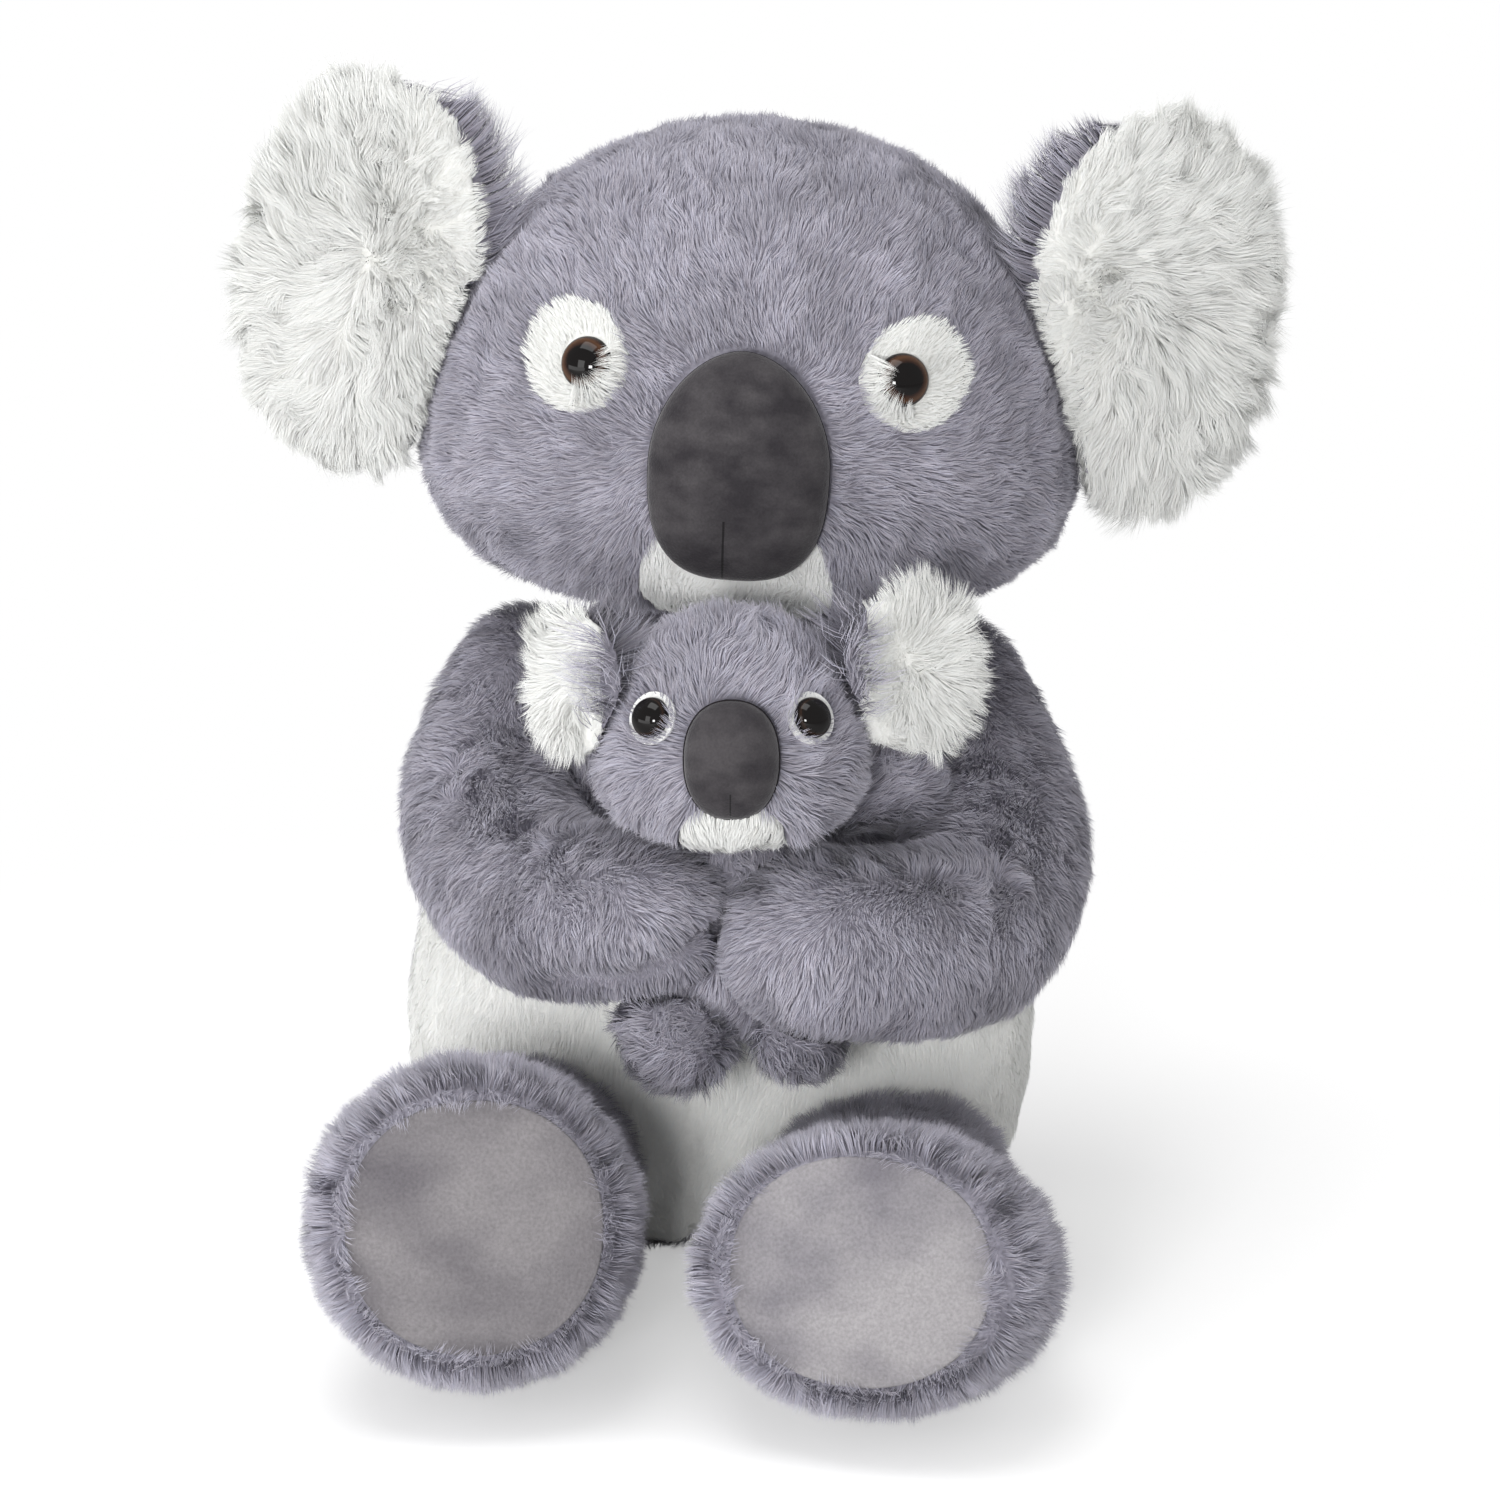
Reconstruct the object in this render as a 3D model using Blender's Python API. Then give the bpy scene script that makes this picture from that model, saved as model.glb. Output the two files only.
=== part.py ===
"""Sitting plush koala that hugs a baby koala. Metres, +Z up, the koala faces -Y.

The origin is on the flat seat of the torso, which stands with both feet on the floor at Z = 0.
Left and right are those of a person who faces the toy: left is towards -X.
Each stuffed form is one solid, its skin and its filling together, as large as its pressed pile.
"""

import math

import bmesh
import bpy
from mathutils import Matrix, Vector
from mathutils.bvhtree import BVHTree

for old in list(bpy.data.objects):
    bpy.data.objects.remove(old, do_unlink=True)

# Sewing and fitting
seam_gap = 0.0003
swing_gap = 0.0005
overrun = 0.020
floor_flat = 0.0005

# Torso of the mother and the white panel over its front
torso_width = 0.306
torso_depth = 0.236
torso_height = 0.325
torso_back_shift = 0.012
panel_thickness = 0.004
panel_floor_gap = 0.010
panel_seam_forward = 0.020
torso_height_shares = (0, 0.004, 0.02, 0.06, 0.13, 0.22, 0.34, 0.46, 0.58, 0.70, 0.80, 0.89, 0.96, 1)
torso_width_shares = (0, 0.42, 0.68, 0.84, 0.945, 0.99, 1, 0.96, 0.86, 0.71, 0.58, 0.46, 0.31, 0)
torso_depth_shares = (0, 0.38, 0.62, 0.80, 0.93, 0.99, 1, 0.96, 0.88, 0.76, 0.65, 0.53, 0.37, 0)

# Head of the mother
head_width = 0.308
head_depth = 0.240
head_height = 0.226
head_side_shift = 0.016
head_forward_shift = 0.012
head_seat_share = 0.957
head_roll_angle = math.radians(2.6)
head_turn_angle = math.radians(-2.8)
head_nod_angle = math.radians(-10)
neck_back_share = 0.10
head_height_shares = (0, 0.012, 0.045, 0.10, 0.18, 0.28, 0.40, 0.52, 0.64, 0.75, 0.85, 0.93, 0.98, 1)
head_width_shares = (0, 0.40, 0.66, 0.83, 0.945, 1, 0.99, 0.95, 0.875, 0.775, 0.64, 0.46, 0.25, 0)
head_depth_shares = (0, 0.38, 0.64, 0.82, 0.94, 1, 1, 0.975, 0.92, 0.83, 0.70, 0.51, 0.28, 0)

# White patches, nose and safety eyes of the mother
patch_rise = 0.0010
patch_sink = 0.0024
eye_patch_width = 0.047
eye_patch_height = 0.048
eye_patch_outward = 0.0045
eye_patch_lift = 0.0008
eye_x_share = 0.2286
eye_z_share = 0.567
eye_diameter = 0.024
eye_dome_height = 0.0085
eye_seat_depth = 0.0008
shank_diameter = 0.005
shank_length = 0.016
washer_diameter = 0.018
washer_thickness = 0.002
washer_depth = 0.0075
nose_width = 0.081
nose_height = 0.104
nose_stand = 0.017
nose_z_share = 0.392
chin_width = 0.088
chin_height = 0.078
chin_z_share = 0.142

# Ears of the mother
ear_width = 0.122
ear_height = 0.186
ear_thickness = 0.036
ear_swing_angle = math.radians(12)
ear_x_share = 0.578
ear_z_share = 0.655
ear_forward_share = 0.075
ear_turn_angle = math.radians(14)
ear_split_angle = math.radians(9)
ear_lean_angles = (math.radians(7), math.radians(0.5))

# Arms of the mother, from shoulder to paw: shares of half the torso's width, its depth and height
arm_diameter = 0.086
arm_swing_angle = math.radians(25)
arm_left_radius_shares = (0.94, 0.99, 1.00, 0.98, 0.92, 0.84)
arm_left_x_shares = (-0.590, -0.690, -0.670, -0.520, -0.365, -0.222)
arm_left_y_shares = (0.000, -0.148, -0.360, -0.572, -0.699, -0.797)
arm_left_z_shares = (0.815, 0.708, 0.643, 0.608, 0.622, 0.638)
arm_right_radius_shares = (0.96, 1.00, 1.02, 1.02, 1.00, 0.95)
arm_right_x_shares = (0.685, 0.795, 0.835, 0.730, 0.490, 0.287)
arm_right_y_shares = (0.000, -0.148, -0.360, -0.572, -0.742, -0.826)
arm_right_z_shares = (0.805, 0.703, 0.628, 0.571, 0.587, 0.606)
shoulder_axis_x_share = 0.53
shoulder_axis_y_share = 0.13

# Legs of the mother, from hip to foot, as shares of half the torso's width and of the leg's length
leg_left_length = 0.232
leg_right_length = 0.263
leg_start_forward = 0.035
leg_swing_angle = math.radians(15)
foot_left_width = 0.144
foot_left_height = 0.143
foot_right_width = 0.159
foot_right_height = 0.1225
leg_left_x_shares = (-0.530, -0.592, -0.680, -0.705, -0.695)
leg_right_x_shares = (0.530, 0.497, 0.458, 0.459, 0.418)
leg_along_shares = (0, 0.33, 0.68, 0.88, 1)
leg_left_rise_shares = (0, 0.016, 0.028, 0.115, 0.147)
leg_right_rise_shares = (0, 0.025, 0.038, 0.099, 0.138)
leg_radius_shares = (0.66, 0.70, 0.94, 0.985, 0.94)
foot_roll_share = 0.12
foot_face_share = 0.84
sole_left_width = 0.112
sole_left_height = 0.111
sole_right_width = 0.115
sole_right_height = 0.0985
sole_thickness = 0.006
sole_stand = 0.001
hip_axis_x_share = 0.93
hip_axis_y_share = 0.27

# Baby: placed by shares of the same torso sizes as the arms that hold it
baby_side_shift = 0.006
baby_head_width = 0.120
baby_head_depth = 0.104
baby_head_height = 0.101
baby_head_y_share = -0.775
baby_head_z_share = 0.754
baby_body_width = 0.100
baby_body_depth = 0.104
baby_body_height = 0.128
baby_body_y_share = -0.610
baby_body_z_share = 0.437
baby_eye_x_share = 0.283
baby_eye_z_share = 0.620
baby_eye_diameter = 0.018
baby_eye_dome_height = 0.007
baby_ring_diameter = 0.0235
baby_ring_thickness = 0.0012
baby_nose_width = 0.041
baby_nose_height = 0.053
baby_nose_stand = 0.012
baby_nose_z_share = 0.465
baby_chin_width = 0.046
baby_chin_height = 0.034
baby_chin_z_share = 0.110
baby_ear_widths = (0.062, 0.066)
baby_ear_heights = (0.067, 0.076)
baby_ear_thickness = 0.016
baby_ear_x_shares = (-0.555, 0.640)
baby_ear_z_shares = (0.680, 0.740)
baby_ear_turn_angles = (math.radians(-48), math.radians(20))
baby_arm_diameter = 0.036
baby_arm_x_shares = ((-0.60, -0.95, -1.20), (0.60, 1.15, 1.60))
baby_arm_y_shares = ((0.05, 0.20, 0.34), (0.04, 0.12, 0.30))
baby_arm_z_shares = ((0.66, 0.56, 0.44), (0.80, 0.85, 0.84))
baby_leg_diameters = (0.054, 0.047)
baby_leg_x_shares = ((-0.42, -0.46, -0.48), (0.50, 0.58, 0.60))
baby_leg_y_shares = ((0.05, -0.18, -0.36), (0.05, -0.18, -0.36))
baby_leg_z_shares = ((0.24, 0.12, 0.08), (0.24, 0.12, 0.09))

# Fineness of the meshes, and how square the forms' sections are
section_power = 2.25
pad_power = 2.35
body_sides = 22
limb_sides = 16
small_sides = 12
round_sides = 24
cap_steps = 3
dome_steps = 4
swing_steps = 6
flat_angle = math.radians(0.05)
crease_angle = math.radians(40)
weld_distance = 0.00001
pad_along_shares = (0, 0.05, 0.20, 0.50, 0.80, 0.95, 1)
ear_radius_shares = (0, 0.66, 0.90, 1, 0.90, 0.66, 0)
sole_radius_shares = (0, 0.96, 0.99, 1, 0.99, 0.96, 0)

# Colours, from the photograph
grey_pile = (0.36, 0.34, 0.41)
white_pile = (0.82, 0.83, 0.80)
nose_velour = (0.08, 0.07, 0.08)
sole_velour = (0.36, 0.34, 0.37)
felt_white = (0.80, 0.80, 0.80)
eye_brown = (0.05, 0.02, 0.015)
washer_white = (0.75, 0.75, 0.73)


def material(name, colour, roughness):
    """A plain surface with the piece's colour."""
    made = bpy.data.materials.new(name)
    made.use_nodes = True
    shader = made.node_tree.nodes["Principled BSDF"]
    shader.inputs["Base Color"].default_value = (*colour, 1)
    shader.inputs["Roughness"].default_value = roughness
    shader.inputs["Metallic"].default_value = 0
    return made


def skin(name, rings):
    """An object through rings of points, whose first and last rings are single points."""
    points, faces, starts = [], [], []
    for ring in rings:
        starts.append(len(points))
        points.extend(ring)
    for low, high in zip(range(len(rings) - 1), range(1, len(rings))):
        below, above = starts[low], starts[high]
        count = max(len(rings[low]), len(rings[high]))
        for k in range(count):
            after = (k + 1) % count
            if len(rings[low]) == 1:
                faces.append((below, above + after, above + k))
            elif len(rings[high]) == 1:
                faces.append((below + k, below + after, above))
            else:
                faces.append((below + k, below + after, above + after, above + k))
    mesh = bpy.data.meshes.new(name)
    mesh.from_pydata([tuple(p) for p in points], [], faces)
    mesh.update()
    made = bpy.data.objects.new(name, mesh)
    bpy.context.collection.objects.link(made)
    return made


def oval(half_width, half_depth, sides, power):
    """Points round a rounded oval, against the clock."""
    points = []
    for k in range(sides):
        turn = math.tau * (k + 0.5) / sides
        c, s = math.cos(turn), math.sin(turn)
        across = math.copysign(abs(c) ** (2 / power), c) * half_width
        along = math.copysign(abs(s) ** (2 / power), s) * half_depth
        points.append((across, along))
    return points


def stacked(name, size, shares, extra, sides, power=section_power):
    """A form of ovals stacked along Z from its base at Z = 0, everywhere larger by extra."""
    width, depth, height = size
    rings = []
    for up, wide, deep in zip(*shares):
        z = up * (height + 2 * extra) - extra
        if wide == 0:
            rings.append([(0, 0, z)])
        else:
            outline = oval(wide * width / 2 + extra, deep * depth / 2 + extra, sides, power)
            rings.append([(x, y, z) for x, y in outline])
    return skin(name, rings)


def pad(name, width, height, thickness, radius_shares, extra, sides):
    """An oval pad whose broad sides face -Y and +Y, centred on the origin."""
    shares = (pad_along_shares, radius_shares, radius_shares)
    made = stacked(name, (width, height, thickness), shares, extra, sides, pad_power)
    made.data.transform(Matrix.Translation((0, 0, -thickness / 2)))
    made.data.transform(Matrix.Rotation(math.pi / 2, 4, "X"))
    return made


def smooth_path(points, steps):
    """Points on a smooth curve through the given ones, with the place of each along it."""
    ends = [points[0] * 2 - points[1]] + points + [points[-1] * 2 - points[-2]]
    found = []
    for k in range(len(points) - 1):
        a, b, c, d = ends[k : k + 4]
        for j in range(steps):
            t = j / steps
            spot = b * 2 + (c - a) * t + (a * 2 - b * 5 + c * 4 - d) * t**2
            found.append(((spot + (b * 3 - a - c * 3 + d) * t**3) / 2, k + t))
    return found + [(points[-1], len(points) - 1)]


def between(values, place):
    """The value at a place along a table, straight between its entries."""
    low = min(int(place), len(values) - 2)
    return values[low] + (values[low + 1] - values[low]) * (place - low)


def limb(name, points, radii, extra, sides, steps=2, face=None):
    """A tube with rounded ends along a smooth curve.

    radii gives (half width, half height) at each point. face gives the roll length and the share
    of the last radius at which the far end is flat; without it the far end is round.
    """
    path = smooth_path([Vector(p) for p in points], steps)
    spots = [spot for spot, _ in path]
    aims = [(b - a).normalized() for a, b in zip(spots[:1] + spots[:-1], spots[1:] + spots[-1:])]
    side = Vector((0, 0, 1)).cross(aims[0]).normalized()
    rings = []

    def ring(centre, aim, side, half_width, half_height):
        rise = aim.cross(side).normalized()
        outline = oval(half_width, half_height, sides, 2)
        rings.append([centre + side * x + rise * y for x, y in outline])

    first = radii[0][0] + extra, radii[0][1] + extra
    rings.append([spots[0] - aims[0] * min(first)])
    for k in range(1, cap_steps):
        turn = math.pi / 2 * k / cap_steps
        back = aims[0] * min(first) * math.cos(turn)
        ring(spots[0] - back, aims[0], side, first[0] * math.sin(turn), first[1] * math.sin(turn))
    for (spot, place), aim in zip(path, aims):
        side = (side - aim * side.dot(aim)).normalized()
        wide = between([r[0] for r in radii], place) + extra
        high = between([r[1] for r in radii], place) + extra
        ring(spot, aim, side, wide, high)
    if face is None:
        for k in range(1, cap_steps):
            turn = math.pi / 2 * k / cap_steps
            on = aims[-1] * min(wide, high) * math.sin(turn)
            ring(spots[-1] + on, aims[-1], side, wide * math.cos(turn), high * math.cos(turn))
        rings.append([spots[-1] + aims[-1] * min(wide, high)])
    else:
        roll, flat = face
        for turn in (math.pi / 4, math.pi / 2):
            on = aims[-1] * (roll + extra) * math.sin(turn)
            share = flat + (1 - flat) * math.cos(turn)
            ring(spots[-1] + on, aims[-1], side, wide * share, high * share)
        rings.append([spots[-1] + aims[-1] * (roll + extra)])
    made = skin(name, rings)
    made["end"] = [*spots[-1], *aims[-1]]
    return made


def turned(name, profile, sides, place):
    """A turned piece: (radius, height) pairs from end to end of its axis, the +Z of place."""
    rings = []
    for radius, height in profile:
        if radius == 0:
            rings.append([(0, 0, height)])
        else:
            rings.append([(x, y, height) for x, y in oval(radius, radius, sides, 2)])
    made = skin(name, rings)
    made.data.transform(place)
    return made


def block(name, low, high):
    """A box between two corners."""
    rings = []
    x0, y0, z0 = low
    x1, y1, z1 = high
    middle = ((x0 + x1) / 2, (y0 + y1) / 2)
    for z in (z0, z1):
        rings.append([(x0, y0, z), (x1, y0, z), (x1, y1, z), (x0, y1, z)])
    return skin(name, [[(*middle, z0)], *rings, [(*middle, z1)]])


def carve(piece, tools, operation="DIFFERENCE"):
    """Cuts the piece by each tool in turn, or keeps what they share, and takes the tools away."""
    for tool in tools:
        cut = piece.modifiers.new("cut", "BOOLEAN")
        cut.operation = operation
        cut.solver = "EXACT"
        cut.object = tool
        tool.hide_render = True
        tool.display_type = "WIRE"
        bpy.context.view_layer.update()
        solid = piece.evaluated_get(bpy.context.evaluated_depsgraph_get())
        shaped = bpy.data.meshes.new_from_object(solid)
        piece.modifiers.clear()
        work = bmesh.new()
        work.from_mesh(shaped)
        bmesh.ops.dissolve_limit(work, angle_limit=flat_angle, verts=work.verts, edges=work.edges)
        bmesh.ops.remove_doubles(work, verts=work.verts, dist=weld_distance)
        bmesh.ops.dissolve_degenerate(work, edges=work.edges, dist=weld_distance)
        loose_edges = [edge for edge in work.edges if edge.is_wire]
        bmesh.ops.delete(work, geom=loose_edges, context="EDGES")
        open_edges = [edge for edge in work.edges if edge.is_boundary]
        bmesh.ops.holes_fill(work, edges=open_edges, sides=0)
        work.to_mesh(shaped)
        work.free()
        piece.data = shaped
        bpy.data.objects.remove(tool, do_unlink=True)
    return piece


def swung(make, extra, pivot, axis, angles):
    """A neighbour in each place that it takes, seen from a piece that swings by the given angles."""
    tools = []
    for angle in angles:
        tool = make(extra)
        turn = Matrix.Rotation(-angle, 4, axis)
        tool.data.transform(Matrix.Translation(pivot) @ turn @ Matrix.Translation(-pivot))
        tools.append(tool)
    return tools


def steps_to(low, high):
    """Even angles from low to high, both kept, with the widest swing first."""
    angles = [low + (high - low) * k / swing_steps for k in range(swing_steps + 1)]
    return sorted(angles, key=abs, reverse=True)


def hang(piece, pivot):
    """Sets the piece's origin on its joint's axis."""
    piece.data.transform(Matrix.Translation(-pivot))
    piece.location = pivot


def dress(piece, name, wear):
    """Names a finished piece, gives it its material and shades it smooth."""
    piece.name = name
    piece.data.name = name
    piece.data.materials.clear()
    piece.data.materials.append(wear)
    piece.data.shade_smooth()
    piece.data.set_sharp_from_angle(angle=crease_angle)
    return piece


grey = material("grey_pile", grey_pile, 0.9)
white = material("white_pile", white_pile, 0.9)
charcoal = material("nose_velour", nose_velour, 0.85)
rose_grey = material("sole_velour", sole_velour, 0.8)
felt = material("felt", felt_white, 0.9)
glossy = material("eye_plastic", eye_brown, 0.1)
plain = material("washer_plastic", washer_white, 0.5)


# Torso: a pear that sits flat, with a white panel sewn in over its front
def torso_form(extra):
    shares = (torso_height_shares, torso_width_shares, torso_depth_shares)
    made = stacked("torso", (torso_width, torso_depth, torso_height), shares, extra, body_sides)
    made.data.transform(Matrix.Translation((0, torso_back_shift, -floor_flat)))
    return made


def front_block(extra):
    low = (-torso_width, -torso_depth, panel_floor_gap - extra)
    high = (torso_width, torso_back_shift - panel_seam_forward + extra, torso_height + overrun)
    return block("front", low, high)


def floor_block():
    reach = torso_width + leg_left_length + leg_right_length
    return block("floor", (-reach, -reach, -overrun), (reach, reach, 0))


torso = torso_form(0)
shell = carve(front_block(seam_gap), [torso_form(-panel_thickness - seam_gap)])
carve(torso, [floor_block(), shell])
belly_panel = carve(torso_form(0), [front_block(0)], "INTERSECT")
carve(belly_panel, [torso_form(-panel_thickness)])


# Head: broad below and domed above, rolled and turned a little, on the top of the torso
head_size = Vector((head_width, head_depth, head_height))
head_seat = Vector((head_side_shift, -head_forward_shift, head_seat_share * torso_height))
head_middle = head_seat + Vector((0, 0, head_height / 2))
head_place = Matrix.Translation(head_middle) @ Matrix.Rotation(head_roll_angle, 4, "Y")
head_place = head_place @ Matrix.Rotation(head_turn_angle, 4, "Z")
head_place = head_place @ Matrix.Translation((0, 0, -head_height / 2))
neck = Vector((0, torso_back_shift + neck_back_share * torso_depth, head_seat.z))


def head_blank(extra):
    shares = (head_height_shares, head_width_shares, head_depth_shares)
    return stacked("head", head_size, shares, extra, body_sides)


def head_form(extra):
    made = head_blank(extra)
    made.data.transform(head_place)
    return made


def surface_spot(form, x, z):
    """Where a line along +Y first meets a form that stands in its own frame."""
    corners = [v.co for v in form.data.vertices]
    tree = BVHTree.FromPolygons(corners, [p.vertices for p in form.data.polygons])
    spot, _, _, _ = tree.ray_cast(Vector((x, -head_depth, z)), Vector((0, 1, 0)))
    return spot


def outward(form, spot, reach):
    """The way out of a form, over a disc of the given reach round a spot."""
    across = surface_spot(form, spot.x + reach, spot.z) - surface_spot(form, spot.x - reach, spot.z)
    up = surface_spot(form, spot.x, spot.z + reach) - surface_spot(form, spot.x, spot.z - reach)
    return across.cross(up).normalized()


def prism(name, width, height, x, z, extra):
    """An upright oval column along Y, its outline centred on x and z."""
    outline = oval(width / 2 + extra, height / 2 + extra, round_sides, 2)
    reach = head_depth + overrun
    rings = [[(x, 0, z)]]
    rings += [[(x + a, y, z + b) for a, b in outline] for y in (0, -reach)]
    return skin(name, rings + [[(x, -reach, z)]])


def patch(blank, width, height, x, z, place):
    """A white patch let into a form: the patch, and the tool that makes its bed."""
    bed = carve(prism("bed", width, height, x, z, seam_gap), [blank(-patch_sink - seam_gap)])
    made = carve(prism("patch", width, height, x, z, 0), [blank(patch_rise)], "INTERSECT")
    carve(made, [blank(-patch_sink)])
    made.data.transform(place)
    bed.data.transform(place)
    return made, bed


def dome(name, width, height, stand, spot):
    """A padded oval that bulges along -Y from a spot on a form."""
    outline = oval(width / 2, height / 2, round_sides, 2)
    rings = [[(0, overrun, 0)], [(a, overrun, b) for a, b in outline]]
    for k in range(dome_steps):
        turn = math.pi / 2 * k / dome_steps
        outline = oval(width / 2 * math.cos(turn), height / 2 * math.cos(turn), round_sides, 2)
        rings.append([(a, -stand * math.sin(turn), b) for a, b in outline])
    made = skin(name, rings + [[(0, -stand, 0)]])
    made.data.transform(Matrix.Translation(spot))
    return made


def aim_at(spot, out):
    """A frame at a spot with +Z along the way out."""
    return Matrix.Translation(spot) @ out.to_track_quat("Z", "Y").to_matrix().to_4x4()


def safety_eye(diameter, dome_height, place):
    """A domed eye with its shank, the washer on the shank, and the tool that makes their bed."""
    radius, shank = diameter / 2, shank_diameter / 2
    outer = washer_diameter / 2
    profile = [(0, -shank_length), (shank, -shank_length), (shank, 0), (radius, 0)]
    for k in range(1, dome_steps):
        turn = math.pi / 2 * k / dome_steps
        profile.append((radius * math.cos(turn), dome_height * math.sin(turn)))
    eye = turned("eye", profile + [(0, dome_height)], round_sides, place)
    low, high = -washer_depth - washer_thickness, -washer_depth
    washer = turned("washer", [(0, low), (outer, low), (outer, high), (0, high)], round_sides, place)
    foot, top = -shank_length - seam_gap, dome_height + overrun
    wide, slim = outer + seam_gap, shank + seam_gap
    under, over = low - overrun, high + overrun
    bore = [(0, under), (slim, under), (slim, over), (0, over)]
    carve(washer, [turned("bore", bore, round_sides, place)])
    under, over = low - seam_gap, high + seam_gap
    bed_profile = [(0, foot), (slim, foot), (slim, under), (wide, under), (wide, over)]
    bed_profile += [(slim, over), (slim, -seam_gap), (radius + seam_gap, -seam_gap)]
    bed_profile += [(radius + seam_gap, top), (0, top)]
    return eye, washer, turned("bed", bed_profile, round_sides, place)


def copy_of(tool):
    """A tool to use once more."""
    twin = tool.copy()
    twin.data = tool.data.copy()
    bpy.context.collection.objects.link(twin)
    return twin


head = head_form(0)
nod_angles = steps_to(0, head_nod_angle)
carve(head, swung(torso_form, swing_gap, neck, "X", nod_angles))

blank = head_blank(0)
head_parts = []
nose_spot = surface_spot(blank, 0, nose_z_share * head_height)
nose = dome("nose", nose_width, nose_height, nose_stand, nose_spot)
carve(nose, [head_blank(patch_rise + seam_gap)])
nose.data.transform(head_place)
chin_z = chin_z_share * head_height
chin_patch, chin_bed = patch(head_blank, chin_width, chin_height, 0, chin_z, head_place)
carve(head, [chin_bed])
carve(chin_patch, swung(torso_form, swing_gap, neck, "X", nod_angles))
head_parts += [dress(nose, "nose", charcoal), dress(chin_patch, "chin_patch", white)]
for side, hand in ((-1, "left"), (1, "right")):
    x, z = side * eye_x_share * head_width, eye_z_share * head_height
    spot = surface_spot(blank, x, z)
    out = outward(blank, spot, eye_diameter / 2)
    eye_place = head_place @ aim_at(spot + out * (patch_rise - eye_seat_depth), out)
    eye, washer, eye_bed = safety_eye(eye_diameter, eye_dome_height, eye_place)
    patch_x, patch_z = x + side * eye_patch_outward, z + eye_patch_lift
    patch_size = (eye_patch_width, eye_patch_height)
    eye_patch, patch_bed = patch(head_blank, *patch_size, patch_x, patch_z, head_place)
    carve(eye_patch, [copy_of(eye_bed)])
    carve(head, [patch_bed, eye_bed])
    head_parts += [dress(eye_patch, "eye_patch_" + hand, white), dress(eye, "eye_" + hand, glossy)]
    head_parts.append(dress(washer, "eye_washer_" + hand, plain))
bpy.data.objects.remove(blank, do_unlink=True)
head_parts.append(dress(head, "head", grey))


# Ears: oval pads sewn to the sides of the head, grey behind and white in front
def ear_place(side):
    turn = Matrix.Rotation(side * ear_turn_angle, 4, "Z")
    middle = Vector((side * ear_x_share, -ear_forward_share, ear_z_share)) * head_size
    return head_place @ Matrix.Translation(middle) @ turn


def ear_seam(side):
    """A point on the line that the ear swings about, and the line's direction."""
    place = ear_place(side)
    line = place.to_3x3() @ Vector((0, 0, side))
    return place @ Vector((-side * ear_width / 2, 0, 0)), line.normalized()


ears = []
for side, hand in ((-1, "left"), (1, "right")):
    lean = ear_lean_angles[0] if side < 0 else ear_lean_angles[1]
    place = ear_place(side) @ Matrix.Rotation(lean, 4, "Y")
    root, line = ear_seam(side)
    swing_angles = steps_to(-ear_swing_angle, ear_swing_angle)
    whole = pad("ear", ear_width, ear_height, ear_thickness, ear_radius_shares, 0, body_sides)
    whole.data.transform(place)
    carve(whole, swung(head_form, swing_gap, root, line, swing_angles))
    halves = []
    for front, label, wear in ((True, "front", white), (False, "back", grey)):
        reach = ear_height
        low = (-reach, -reach, -reach) if front else (-reach, seam_gap / 2, -reach)
        high = (reach, -seam_gap / 2, reach) if front else (reach, reach, reach)
        keep = block("half", low, high)
        keep.data.transform(place @ Matrix.Rotation(side * ear_split_angle, 4, "Z"))
        half = carve(copy_of(whole), [keep], "INTERSECT")
        halves.append(dress(half, "ear_" + label + "_" + hand, wear))
    bpy.data.objects.remove(whole, do_unlink=True)
    ears.append((halves, root))


# Arms: stuffed tubes from the shoulders round the baby
def hug_point(x, y, z):
    """A point in front of the torso, from shares of its sizes."""
    return Vector((x * torso_width / 2, y * torso_depth, z * torso_height))


def arm_maker(side):
    left = side < 0
    shares = (arm_left_x_shares, arm_left_y_shares, arm_left_z_shares)
    if not left:
        shares = (arm_right_x_shares, arm_right_y_shares, arm_right_z_shares)
    radii = arm_left_radius_shares if left else arm_right_radius_shares
    points = [hug_point(*p) for p in zip(*shares)]
    sizes = [(r * arm_diameter / 2, r * arm_diameter / 2) for r in radii]
    return lambda extra: limb("arm", points, sizes, extra, limb_sides)


arms, arm_tools = {}, {}
for side, hand in ((-1, "left"), (1, "right")):
    shoulder_z_share = arm_left_z_shares[0] if side < 0 else arm_right_z_shares[0]
    pivot = hug_point(side * shoulder_axis_x_share, shoulder_axis_y_share, shoulder_z_share)
    make = arm_maker(side)
    arm = make(0)
    open_angles = steps_to(0, side * arm_swing_angle)
    carve(arm, swung(torso_form, swing_gap, pivot, "Z", open_angles))
    carve(arm, swung(head_form, swing_gap, neck, "X", [-a for a in nod_angles]))
    arms[side] = (dress(arm, "arm_" + hand, grey), pivot)
    arm_tools[side] = (make, pivot, [-a for a in open_angles])


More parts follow.
